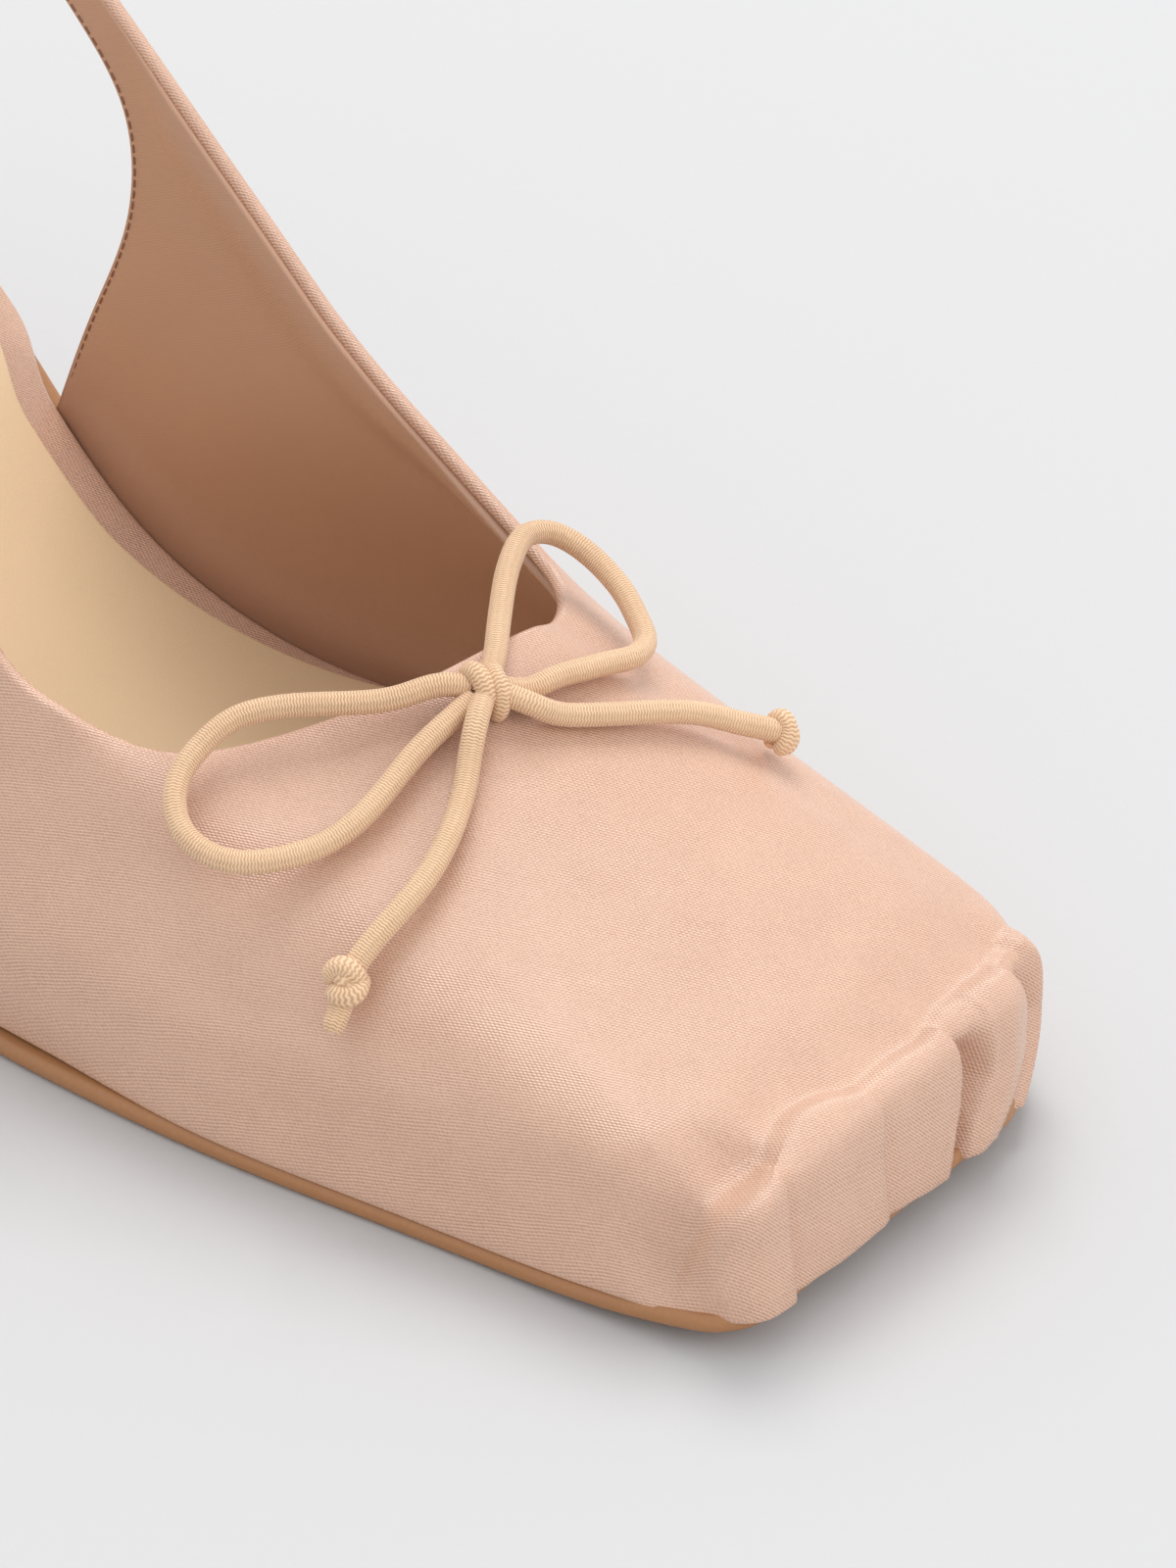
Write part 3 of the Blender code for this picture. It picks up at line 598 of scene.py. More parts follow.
def smooth(value, low=0.0, high=1.0):
    """0 at low, 1 at high and beyond them, and 3s^2 - 2s^3 of the share s between them."""
    share = np.clip((np.asarray(value, float) - low) / (high - low), 0, 1)
    return share * share * (3 - 2 * share)


def unit(vectors):
    """Vectors divided by their lengths."""
    return vectors / np.linalg.norm(vectors, axis=-1, keepdims=True)


outline_reach = spline([row[0] for row in OUTLINE], [row[1:] for row in OUTLINE])
shank_rise = spline([row[0] for row in SHANK], [row[1] for row in SHANK])


def sole_height(back):
    """Height of the sole's bottom: flat at the ball, sprung at the toe, risen along the shank."""
    share = np.asarray(back) / LENGTH
    rise = np.where(share > SHANK[1][0], np.maximum(shank_rise(np.clip(share, SHANK[0][0], 1)), 0), 0)
    spring = np.clip(1 - share / SPRING_START, 0, 1) ** 2
    return HEEL_HEIGHT * rise + TOE_SPRING * spring


def reach(back, inset=0.0):
    """Lateral and medial distance from the centre line to the sole's edge, less an inset."""
    back = np.asarray(back, float)
    lateral, medial = np.moveaxis(outline_reach(np.clip(back / LENGTH, 0, 1)) * BALL_WIDTH, -1, 0)
    middle = (medial - lateral) / 2
    half = (medial + lateral) / 2 - inset
    near_seat = np.clip((back - (LENGTH - SEAT_ROUND)) / (SEAT_ROUND - inset), 0, 1)
    half = half * (1 - near_seat**SEAT_CURVE) ** (1 / SEAT_CURVE)
    rounds = []
    for corner in TOE_CORNERS:
        radius = np.maximum(corner - inset, 0.0005)
        near_toe = np.clip(1 - (back - inset) / radius, 0, 1)
        rounds.append(radius * (1 - np.sqrt(1 - near_toe**2)))
    return half - middle - rounds[0], half + middle - rounds[1]


def on_last(back, across, above):
    """World place of a point: back from the toe, across the shoe, above the sole's bottom."""
    step = LENGTH / 1000
    slope = (sole_height(back + step) - sole_height(back - step)) / (2 * step)
    slope = np.where(np.asarray(back) < SPRING_START * LENGTH, 0, slope)
    size = np.sqrt(1 + slope**2)
    x = LENGTH / 2 - (back - above * slope / size)
    z = sole_height(back) + above / size
    return np.stack(np.broadcast_arrays(x, across, z), axis=-1)


def edge_line(side):
    """The upper's foot on one side: places, reaches and running distance from the toe's middle."""
    corner = TOE_CORNERS[side] - FEATHER_INSET
    turn = np.linspace(0, np.pi / 2, 40)
    rest = np.linspace(TOE_CORNERS[side], QUARTER_END * LENGTH, 240)[1:]
    back = np.concatenate([FEATHER_INSET + corner * (1 - np.cos(turn)), rest])
    across = reach(back, FEATHER_INSET)[side]
    back = np.concatenate([[FEATHER_INSET], back])
    across = np.concatenate([[0], across])
    run = np.concatenate([[0], np.cumsum(np.hypot(np.diff(back), np.diff(across)))])
    return back, across, run


def loop_columns(counts):
    """Places of the columns, counted in sections: the heel's middle, lateral side, toe, medial side."""
    half = np.concatenate([[0.0]] + [i + np.arange(1, n + 1) / n for i, n in enumerate(counts)])
    return np.concatenate([-half[:0:-1], half[:-1]])


def place(back, out, up, sign):
    """World place of a topline or sling point given in shares."""
    back = np.asarray(back) * LENGTH
    height = sole_height(back) + np.asarray(up) * COLLAR_HEIGHT
    return np.stack([LENGTH / 2 - back, sign * np.asarray(out) * BALL_WIDTH, height], axis=-1)


def around(lateral, medial, at):
    """Spline round the shoe through one row of section points for each side, joined at the heel."""
    line = np.concatenate([lateral[:0:-1], medial])
    line = np.concatenate([line[-5:-1], line, line[1:5]])
    numbers = np.arange(len(line)) - (len(lateral) - 1) - 4
    return spline(numbers, line)(at)


def heel_middle():
    """How far the seat's middle lies to the medial side."""
    lateral, medial = reach(LENGTH - SEAT_ROUND)
    return float(medial - lateral) / 2


def topline(at):
    """The topline and the sling's upper edge, right round the shoe."""
    table = np.array(TOPLINE)
    sling = np.array(SLING)
    sides = []
    for sign, columns in ((-1, (0, 1, 2)), (1, (3, 4, 5))):
        rows = np.concatenate([table[:, columns], sling])
        sides.append(place(*rows.T, sign))
    middle = heel_middle()
    for line in sides:
        share = np.clip((LENGTH / 2 - line[:, 0]) / LENGTH - QUARTER_END, 0, None) / (1 - QUARTER_END)
        line[:, 1] += middle * np.minimum(share * SLING_SHIFT, 1)
    return around(sides[0], sides[1], at)


def lower_edge(at, top):
    """The upper's lower edge: the sole's edge, the quarter's back edge, then the sling's lower edge."""
    last = len(SECTIONS) - 1
    edge = np.array([row[0] for row in SECTIONS])
    low = np.zeros_like(top)
    turned = unit(np.gradient(top, axis=0))
    flat = np.hypot(turned[:, 0], turned[:, 1])
    drop = np.stack([-turned[:, 0] * turned[:, 2] / flat, -turned[:, 1] * turned[:, 2] / flat, flat], axis=1)
    band = top - SLING_WIDTH * drop
    for side, sign in ((0, -1), (1, 1)):
        back, across, run = edge_line(side)
        own = (np.sign(at) == sign) | (at == 0)
        here = own & (np.abs(at) <= last)
        distance = spline(np.arange(last + 1), edge * run[-1])(np.abs(at[here]))
        places = np.interp(distance, run, back)
        reaches = np.interp(distance, run, across)
        low[here] = on_last(places, sign * reaches, OUTSOLE_THICKNESS + GAP)
        corner = on_last(back[-1], sign * across[-1], OUTSOLE_THICKNESS + GAP)
        rows = np.array(QUARTER_BACK)
        rising = place(*rows.T, sign)
        start = last + len(rows) + 1
        ends = [band[np.argmin(np.abs(at - sign * number))] for number in (start, start + 1)]
        line = np.concatenate([[corner], rising, ends])
        there = own & (np.abs(at) > last) & (np.abs(at) <= start)
        low[there] = spline(np.arange(len(line)) + last, line)(np.abs(at[there]))
        beyond = own & (np.abs(at) > start)
        low[beyond] = band[beyond]
    return low


def control_rows(at):
    """Seven rows of control points right round the upper, from its lower edge to its topline."""
    top = topline(at)
    low = lower_edge(at, top)
    table = np.array(SECTIONS)[:, 1:]
    count = len(TOPLINE) + len(SLING)
    filled = np.concatenate([table, np.repeat(np.array([EVEN_SECTION]), count - len(table), axis=0)])
    belly, *shares = around(filled, filled, at).T
    wall_in, wall_up, knee_in, knee_up, middle_in, middle_up, upper_in, upper_up = shares
    ahead = np.gradient(top, axis=0)
    outward = unit(np.stack([ahead[:, 1], -ahead[:, 0], np.zeros(len(at))], axis=1))
    rows = [low]
    for inward, up, swell in (
        (wall_in / 2, wall_up / 2, 0.7),
        (wall_in, wall_up, 1.0),
        (knee_in, knee_up, 0.8),
        (middle_in, middle_up, 0.4),
        (upper_in, upper_up, 0.1),
    ):
        share = np.stack([inward, inward, up], axis=1)
        rows.append(low + (top - low) * share + outward * (swell * belly * BALL_WIDTH)[:, None])
    rows.append(top)
    return np.stack(rows)


def basis(at, controls):
    """Weights of a clamped cubic B-spline at places from 0 to 1, one for each control row."""
    at = np.clip(at, 0, 1 - 1e-9)
    knots = np.concatenate([np.zeros(3), np.linspace(0, 1, controls - 2), np.ones(3)])
    weights = [((at >= low) & (at < high)).astype(float) for low, high in zip(knots[:-1], knots[1:])]
    for degree in range(1, 4):
        raised = []
        for i in range(len(weights) - 1):
            left = knots[i + degree] - knots[i]
            right = knots[i + degree + 1] - knots[i + 1]
            part = np.zeros_like(at)
            if left > 0:
                part = part + (at - knots[i]) / left * weights[i]
            if right > 0:
                part = part + (knots[i + degree + 1] - at) / right * weights[i + 1]
            raised.append(part)
        weights = raised
    return np.stack(weights)


def on_upper(controls, up):
    """The upper's outer face at places up its girth, 0 at the lower edge and 1 at the topline."""
    return np.einsum("krc,kcx->rcx", basis(up, len(controls)), controls)


def edge_margin(controls, width, top=False):
    """Share of the girth that lies a width in from the lower edge or topline, square to that edge.

    Also gives the unit direction square to the edge, in the surface and upwards.
    """
    step = 0.01
    if top:
        rise = controls[-1] - on_upper(controls, np.full((1, controls.shape[1]), 1 - step))[0]
    else:
        rise = on_upper(controls, np.full((1, controls.shape[1]), step))[0] - controls[0]
    edge = controls[-1] if top else controls[0]
    along = unit(np.roll(edge, -1, axis=0) - np.roll(edge, 1, axis=0))
    square = rise - along * (rise * along).sum(1, keepdims=True)
    return width * step / np.linalg.norm(square, axis=1), unit(square)


def face_normals(grid):
    """Outward unit normals of a grid whose columns run right round: along crossed with up."""
    along = np.roll(grid, -1, axis=1) - np.roll(grid, 1, axis=1)
    return unit(np.cross(along, np.gradient(grid, axis=0)))


def side_distance(points, normals, path):
    """Signed distance of points from a smooth path drawn on the surface, and their share along it.

    The distance is positive on the path's left, as seen from outside: the sign is that of the
    normal's part along tangent crossed with offset.
    """
    path = np.array(path)
    run = np.concatenate([[0], np.cumsum(np.linalg.norm(np.diff(path, axis=0), axis=1))])
    samples = spline(run, path)(np.linspace(0, run[-1], 160))
    tangents = np.gradient(samples, axis=0)
    square = (points**2).sum(1)[:, None] - 2 * points @ samples.T + (samples**2).sum(1)
    nearest = square.argmin(1)
    offset = points - samples[nearest]
    along = unit(tangents[nearest])
    offset -= along * (offset * along).sum(1, keepdims=True)
    side = np.sign((np.cross(along, offset) * normals).sum(1))
    return side * np.linalg.norm(offset, axis=1), nearest / (len(samples) - 1)


def on_shares(path):
    """Places of a crease's path from its shares of the shoe's length, ball width and collar height."""
    back, across, up = np.array(path).T
    return np.stack([LENGTH / 2 - back * LENGTH, across * BALL_WIDTH, up * COLLAR_HEIGHT], axis=1)


def bell(points, normals, path, aside, left, right, ends):
    """exp(-(d/w)^2) of the distance to a path, with its own width w each side of a line set aside.

    It fades out over the path's first and last part, ends being that part's share of the path.
    """
    route = on_shares(path)
    reach_out = 3 * max(left, right)
    near = np.all((points > route.min(0) - reach_out) & (points < route.max(0) + reach_out), axis=1)
    distance, share = side_distance(points[near], normals[near], route)
    distance = distance - aside
    width = np.where(distance > 0, left, right)
    rise = np.zeros(len(points))
    rise[near] = np.exp(-((distance / width) ** 2)) * smooth(share, 0, ends) * smooth(1 - share, 0, ends)
    return rise


def corner_hollow(points, normals):
    """The hollow at the toe's lateral corner, pressed into the satin along one direction."""
    shape = points.shape
    points = points.reshape(-1, 3)
    normals = normals.reshape(-1, 3)
    press = bell(points, normals, CORNER_HOLLOW, 0.0, HOLLOW_WIDTH, HOLLOW_STEEP, HOLLOW_FADE)
    depth = HOLLOW_DEPTH * press
    return (depth[:, None] * np.array(HOLLOW_DIRECTION)).reshape(shape)


def lobe_relief(points, across):
    """The toe's gathers: smoothed steps between the rows of TOE_LOBES, fading out behind the ridge.

    Rows lean from their place at the sole to the one at the ridge over the lower half of the face,
    the folds between lobes close towards the ridge, and the foot is drawn out over the sole's edge.
    """
    at_sole, at_ridge, out = np.array(TOE_LOBES).T
    share = across / BALL_WIDTH
    height = points[:, 2]
    upright = np.clip((height - LEAN_START) / LEAN_RISE, 0, 1)
    share = share * upright + np.interp(share, at_sole, at_ridge) * (1 - upright)
    i = np.clip(np.searchsorted(at_ridge, share) - 1, 0, len(out) - 2)
    ease = smooth((share - at_ridge[i]) / (at_ridge[i + 1] - at_ridge[i]))
    stand = out[i] + (out[i + 1] - out[i]) * ease
    closed = 1 - 0.9 * smooth(height, *CLOSED_AT_RIDGE) - 0.35 * smooth(height, *CLOSED_AT_FOOT)
    stand = np.where(stand < 0, stand * closed, stand)
    stand *= 1 - 0.75 * smooth(share, *CALM_PLACE) * smooth(height, *CALM_HEIGHT)
    middle = smooth(share, -0.50, -0.36) * (1 - 0.4 * smooth(share, 0.24, 0.36)) * smooth(share, 0.62, 0.45)
    foot = FOOT_OUT * middle * (1 - smooth(height, *FOOT_HEIGHT))
    ridge = np.array(TOE_RIDGE)
    ridge_back = np.interp(points[:, 1] / BALL_WIDTH, ridge[:, 1], ridge[:, 0]) * LENGTH
    behind = LENGTH / 2 - points[:, 0] - ridge_back
    return (UPPER_WALL * stand + foot) * (1 - smooth(behind, *BEHIND_RIDGE))


def satin_relief(points, normals, across, settings):
    """How far the satin stands out from the last at each point: gathers and creases together."""
    shape = points.shape[:2]
    points = points.reshape(-1, 3)
    normals = normals.reshape(-1, 3)
    run = np.abs(across.reshape(-1)) / BALL_WIDTH
    above = points[:, 2] - sole_height(LENGTH / 2 - points[:, 0])
    relief = settings.gather * lobe_relief(points, across.reshape(-1))
    spread = smooth(run, *SPREAD_FROM) * smooth(run, *SPREAD_TO)
    relief += SPREAD_OUT * spread * np.exp(-(np.maximum(above - SPREAD_ABOVE, 0) / SPREAD_FALL) ** 2)
    for path, aside, height, left, right, fade in CREASES:
        depth = settings.crease * height * bell(points, normals, path, aside, left, right, fade)
        relief += depth * (CREASE_AT_FOOT + (1 - CREASE_AT_FOOT) * smooth(above, *CREASE_FOOT))
    return relief.reshape(shape)


def edge_run(at):
    """Signed distance of each column along the sole's edge from the toe's middle."""
    last = len(SECTIONS) - 1
    edge = np.array([row[0] for row in SECTIONS])
    run = np.zeros(len(at))
    for side, sign in ((0, -1), (1, 1)):
        total = edge_line(side)[2][-1]
        own = np.sign(at) == sign
        run[own] = sign * spline(np.arange(last + 1), edge * total)(np.minimum(np.abs(at[own]), last))
    return run


def ring_faces(rows, columns, close_rows=False):
    """Quads of a grid as one array, and the same quads before wrapping, for places in a UV map."""
    i, j = np.meshgrid(np.arange(rows - (not close_rows)), np.arange(columns), indexing="ij")
    corners = np.stack([
        np.stack([i, j], -1),
        np.stack([i, j + 1], -1),
        np.stack([i + 1, j + 1], -1),
        np.stack([i + 1, j], -1),
    ], axis=2).reshape(-1, 4, 2)
    wrapped = (corners[..., 0] % rows) * columns + corners[..., 1] % columns
    return wrapped, corners


def end_caps(rows, columns):
    """The flat faces that close a grid of rings at its first and its last ring."""
    return [tuple(range(columns)), tuple((rows - 1) * columns + k for k in range(columns))]


def new_piece(name, points, faces, material, uv=None, caps=()):
    """A mesh object at the origin from arrays, with a UV map where given and its faces turned out.

    The first faces are quads, with a place in the map for each corner; caps are the faces after
    them, whose corners lie at the map's origin.
    """
    mesh = bpy.data.meshes.new(name)
    mesh.from_pydata(np.asarray(points).reshape(-1, 3).tolist(), [], np.asarray(faces).tolist() + list(caps))
    if uv is not None:
        places = np.zeros((len(mesh.loops), 2))
        flat = np.asarray(uv, float).reshape(-1, 2)
        places[: len(flat)] = flat
        mesh.uv_layers.new(name="UVMap").data.foreach_set("uv", places.ravel())
    form = bmesh.new()
    form.from_mesh(mesh)
    bmesh.ops.recalc_face_normals(form, faces=form.faces)
    form.to_mesh(mesh)
    form.free()
    mesh.shade_smooth()
    mesh.materials.append(material)
    item = bpy.data.objects.new(name, mesh)
    bpy.context.scene.collection.objects.link(item)
    return item


def joined(parts):
    """Points, quads, map places and caps of several parts as one set of arrays."""
    points, faces, uvs, caps = [], [], [], []
    start = 0
    for part_points, part_faces, part_uv, part_caps in parts:
        points.append(part_points.reshape(-1, 3))
        faces.append(part_faces + start)
        uvs.append(part_uv)
        caps += [tuple(int(k) + start for k in cap) for cap in part_caps]
        start += len(points[-1])
    return np.concatenate(points), np.concatenate(faces), np.concatenate(uvs), caps


def dress(item, slot, *nodes):
    """Rides a finished piece on the shoe and lets it stand for the solids given; the slot is not used."""
    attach(item, "root")
    if nodes:
        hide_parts(*nodes)
    return item


def cord_frames(line):
    """Side and lift along a path, carried on from ring to ring so that the tube never twists."""
    tangents = unit(np.gradient(line, axis=0))
    lift = np.cross(tangents[0], (0.31, 0.52, 0.79))
    lifts = []
    for tangent in tangents:
        lift = lift - tangent * (lift @ tangent)
        lift = lift / np.linalg.norm(lift)
        lifts.append(lift)
    lifts = np.array(lifts)
    return np.cross(tangents, lifts), lifts


def tube(route, radius, step, sides=18, end_round=0.35):
    """A round tube along a smooth curve through a route, its ends drawn in over end_round radii.

    A ring at distance s from the nearer end has the radius r sqrt(1 - (1 - s/e)^2 (1 - k^2)), where
    e is the rounding's length and k the cap's share of the radius. The map runs along the cord and
    round it, both in metres.
    """
    route = np.asarray(route, float)
    run = np.concatenate([[0], np.cumsum(np.linalg.norm(np.diff(route, axis=0), axis=1))])
    count = max(6, int(np.ceil(run[-1] / step)))
    rounding = end_round * radius
    ends = rounding * (1 - np.cos(np.linspace(0, np.pi / 2, 5)))[:-1]
    middle = np.linspace(rounding, run[-1] - rounding, count)
    at = np.concatenate([ends, middle, run[-1] - ends[::-1]])
    line = spline(run, route)(at)
    sideways, lifts = cord_frames(line)
    from_end = np.minimum(at, run[-1] - at)
    cap_share = 0.55
    shrink = np.sqrt(1 - np.clip(1 - from_end / rounding, 0, 1) ** 2 * (1 - cap_share**2))
    turn = np.linspace(0, 2 * np.pi, sides, endpoint=False)
    ring = sideways[:, None] * np.cos(turn)[:, None] + lifts[:, None] * np.sin(turn)[:, None]
    points = line[:, None] + ring * (radius * shrink)[:, None, None]
    faces, corners = ring_faces(len(at), sides)
    uv = np.stack([at[corners[..., 0]], corners[..., 1] / sides * 2 * np.pi * radius], axis=-1)
    return points, faces, uv, end_caps(len(at), sides)


def knot_axes():
    """The photograph's right, up and towards-the-camera directions, in which the knots are laid out."""
    stage = bpy.context.scene.pump_stage
    return np.array(view_axes(stage.azimuth, stage.elevation, stage.roll))


def knot_parts(middle, strands, step):
    """Short tubes of the knot's strands, laid out in the photograph's axes round its middle."""
    axes = knot_axes()
    parts = []
    for radius, path in strands:
        route = np.array(middle) + np.array(path) * 0.001 @ axes
        parts.append(tube(route, radius * 0.001, step, sides=20, end_round=0.9))
    return parts


def new_material(name):
    """An empty material with its Principled shader and output joined."""
    material = bpy.data.materials.new(name)
    material.use_nodes = True
    return material, material.node_tree, material.node_tree.nodes["Principled BSDF"]


def node(tree, kind, **values):
    """A shader node with its properties set."""
    item = tree.nodes.new(kind)
    for key, value in values.items():
        setattr(item, key, value)
    return item


def math_node(tree, operation, first, second=None, third=None):
    """A Math node whose inputs are sockets or plain numbers; returns its output."""
    item = node(tree, "ShaderNodeMath", operation=operation)
    for socket, value in zip(item.inputs, (first, second, third)):
        if isinstance(value, bpy.types.NodeSocket):
            tree.links.new(value, socket)
        elif value is not None:
            socket.default_value = value
    return item.outputs[0]


def dot_node(tree, vector, direction):
    """The part of a vector socket along a direction."""
    item = node(tree, "ShaderNodeVectorMath", operation="DOT_PRODUCT")
    tree.links.new(vector, item.inputs[0])
    item.inputs[1].default_value = direction
    return item.outputs["Value"]


def noise_node(tree, vector, scale, detail=2.0, roughness=0.5):
    """A noise pattern from a vector socket; returns its value."""
    item = node(tree, "ShaderNodeTexNoise")
    item.inputs["Scale"].default_value = scale
    item.inputs["Detail"].default_value = detail
    item.inputs["Roughness"].default_value = roughness
    tree.links.new(vector, item.inputs["Vector"])
    return item.outputs["Fac"]


def mix_colours(tree, factor, first, second):
    """A colour between two, each a socket or three numbers; returns the colour socket."""
    item = node(tree, "ShaderNodeMix", data_type="RGBA")
    tree.links.new(factor, item.inputs["Factor"])
    for socket, value in ((item.inputs["A"], first), (item.inputs["B"], second)):
        if isinstance(value, bpy.types.NodeSocket):
            tree.links.new(value, socket)
        else:
            socket.default_value = (*value, 1.0)
    return item.outputs["Result"]


def range_node(tree, value, low, high, to_low, to_high):
    """A value brought from one range to another and held inside it; returns the output."""
    item = node(tree, "ShaderNodeMapRange")
    tree.links.new(value, item.inputs["Value"])
    for name, number in (("From Min", low), ("From Max", high), ("To Min", to_low), ("To Max", to_high)):
        item.inputs[name].default_value = number
    return item.outputs["Result"]


def bump_node(tree, height, distance):
    """A Bump node from a height; returns its normal."""
    item = node(tree, "ShaderNodeBump")
    item.inputs["Strength"].default_value = 1.0
    item.inputs["Distance"].default_value = distance
    tree.links.new(height, item.inputs["Height"])
    return item.outputs["Normal"]


def new_group(name, inputs, outputs):
    """A shader node group with named float or vector inputs and float outputs, and its two ends."""
    tree = bpy.data.node_groups.new(name, "ShaderNodeTree")
    for title, kind, value in inputs:
        socket = tree.interface.new_socket(title, in_out="INPUT", socket_type=kind)
        if value is not None:
            socket.default_value = value
    for title in outputs:
        tree.interface.new_socket(title, in_out="OUTPUT", socket_type="NodeSocketFloat")
    return tree, tree.nodes.new("NodeGroupInput"), tree.nodes.new("NodeGroupOutput")


def place_group(tree, group, vector, **values):
    """A group node in a material, fed with a vector and its own values."""
    item = tree.nodes.new("ShaderNodeGroup")
    item.node_tree = group
    tree.links.new(vector, item.inputs["Vector"])
    for key, value in values.items():
        item.inputs[key].default_value = value
    return item


def weave_group():
    """Satin weave: fine slanting lines of thread, broken into floats, on planes through the last.

    Lines are the sine of the place across the threads, floats the sine of the place along them, set
    on by the line's own phase, and a fine noise roughens both. The lines fade where the surface
    lies flat to their planes, as they would spread into rings there.
    """
    name = "Satin weave"
    if name in bpy.data.node_groups:
        return bpy.data.node_groups[name]
    tree, start, end = new_group(
        name,
        (
            ("Vector", "NodeSocketVector", None),
            ("Pitch", "NodeSocketFloat", 0.00029),
            ("Wander", "NodeSocketFloat", 0.9),
        ),
        ("Tone", "Height"),
    )
    vector = start.outputs["Vector"]
    wander = math_node(tree, "MULTIPLY", noise_node(tree, vector, 260.0, 1.0), start.outputs["Wander"])
    wander = math_node(tree, "MULTIPLY", wander, 6.0)
    rate = math_node(tree, "DIVIDE", 2 * np.pi, start.outputs["Pitch"])
    across = math_node(tree, "MULTIPLY_ADD", dot_node(tree, vector, WEAVE_ACROSS), rate, wander)
    facing = dot_node(tree, tree.nodes.new("ShaderNodeTexCoord").outputs["Normal"], WEAVE_ACROSS)
    slant = range_node(tree, math_node(tree, "ABSOLUTE", facing), 0.72, 0.93, 1.0, 0.0)
    lines = math_node(tree, "MULTIPLY", math_node(tree, "SINE", across), slant)
    along = math_node(tree, "MULTIPLY", dot_node(tree, vector, WEAVE_ALONG), rate)
    along = math_node(tree, "MULTIPLY_ADD", across, 0.5, math_node(tree, "MULTIPLY", along, 0.62))
    floats = math_node(tree, "SINE", along)
    grain = noise_node(tree, vector, 3600.0, 2.0, 0.6)
    tone = math_node(tree, "MULTIPLY_ADD", lines, 0.34, 0.60)
    tone = math_node(tree, "MULTIPLY_ADD", floats, 0.07, tone)
    tone = math_node(tree, "MULTIPLY_ADD", math_node(tree, "SUBTRACT", grain, 0.5), 0.9, tone)
    tree.links.new(tone, end.inputs["Tone"])
    height = math_node(tree, "MULTIPLY_ADD", floats, 0.2, math_node(tree, "MULTIPLY_ADD", lines, 0.3, 0.5))
    tree.links.new(height, end.inputs["Height"])
    return tree


def mottle_group():
    """Slow, soft changes over the surface: two noises, one hand-wide and one a few millimetres."""
    name = "Soft mottle"
    if name in bpy.data.node_groups:
        return bpy.data.node_groups[name]
    tree, start, end = new_group(
        name,
        (("Vector", "NodeSocketVector", None), ("Strength", "NodeSocketFloat", 1.0)),
        ("Tone",),
    )
    broad = noise_node(tree, start.outputs["Vector"], 28.0, 2.0)
    small = noise_node(tree, start.outputs["Vector"], 190.0, 3.0)
    both = math_node(tree, "MULTIPLY_ADD", small, 0.4, math_node(tree, "MULTIPLY", broad, 0.6))
    centred = math_node(tree, "SUBTRACT", both, 0.5)
    tone = math_node(tree, "MULTIPLY_ADD", centred, start.outputs["Strength"], 0.5)
    tree.links.new(tone, end.inputs["Tone"])
    return tree


def grain_group():
    """Leather grain: small raised cells with fine pores, from two Voronoi patterns and a noise."""
    name = "Leather grain"
    if name in bpy.data.node_groups:
        return bpy.data.node_groups[name]
    tree, start, end = new_group(
        name,
        (("Vector", "NodeSocketVector", None), ("Scale", "NodeSocketFloat", 1400.0)),
        ("Tone", "Height"),
    )
    cells = node(tree, "ShaderNodeTexVoronoi", feature="DISTANCE_TO_EDGE")
    tree.links.new(start.outputs["Vector"], cells.inputs["Vector"])
    tree.links.new(start.outputs["Scale"], cells.inputs["Scale"])
    raised = range_node(tree, cells.outputs["Distance"], 0.0, 0.32, 0.0, 1.0)
    fine = noise_node(tree, start.outputs["Vector"], 3800.0, 2.0, 0.6)
    height = math_node(tree, "MULTIPLY_ADD", fine, 0.5, math_node(tree, "MULTIPLY", raised, 0.5))
    tree.links.new(height, end.inputs["Height"])
    tree.links.new(height, end.inputs["Tone"])
    return tree


def object_place(tree):
    """The Object coordinates socket."""
    return tree.nodes.new("ShaderNodeTexCoord").outputs["Object"]


def satin_material(name, light, dark, roughness, weave, pitch, sheen):
    """Satin: threads between a light and a dark tone, a slow mottle and a soft sheen."""
    material, tree, shader = new_material(name)
    vector = object_place(tree)
    threads = place_group(tree, weave_group(), vector, Pitch=pitch)
    mottle = place_group(tree, mottle_group(), vector, Strength=1.2)
    tone = math_node(tree, "MULTIPLY", threads.outputs["Tone"], weave)
    tone = math_node(tree, "ADD", tone, 0.5 - weave * 0.5)
    centred = math_node(tree, "SUBTRACT", mottle.outputs["Tone"], 0.5)
    tone = math_node(tree, "MULTIPLY_ADD", centred, 0.5, tone)
    tree.links.new(mix_colours(tree, tone, dark, light), shader.inputs["Base Color"])
    gloss = math_node(tree, "MULTIPLY_ADD", threads.outputs["Tone"], -0.12 * weave, roughness + 0.06 * weave)
    tree.links.new(gloss, shader.inputs["Roughness"])
    normal = bump_node(tree, threads.outputs["Height"], 0.00007 * weave)
    tree.links.new(normal, shader.inputs["Normal"])
    shader.inputs["Specular IOR Level"].default_value = 1.0
    shader.inputs["Sheen Weight"].default_value = sheen
    shader.inputs["Sheen Roughness"].default_value = 0.5
    shader.inputs["Sheen Tint"].default_value = (1.0, 0.93, 0.90, 1.0)
    return material


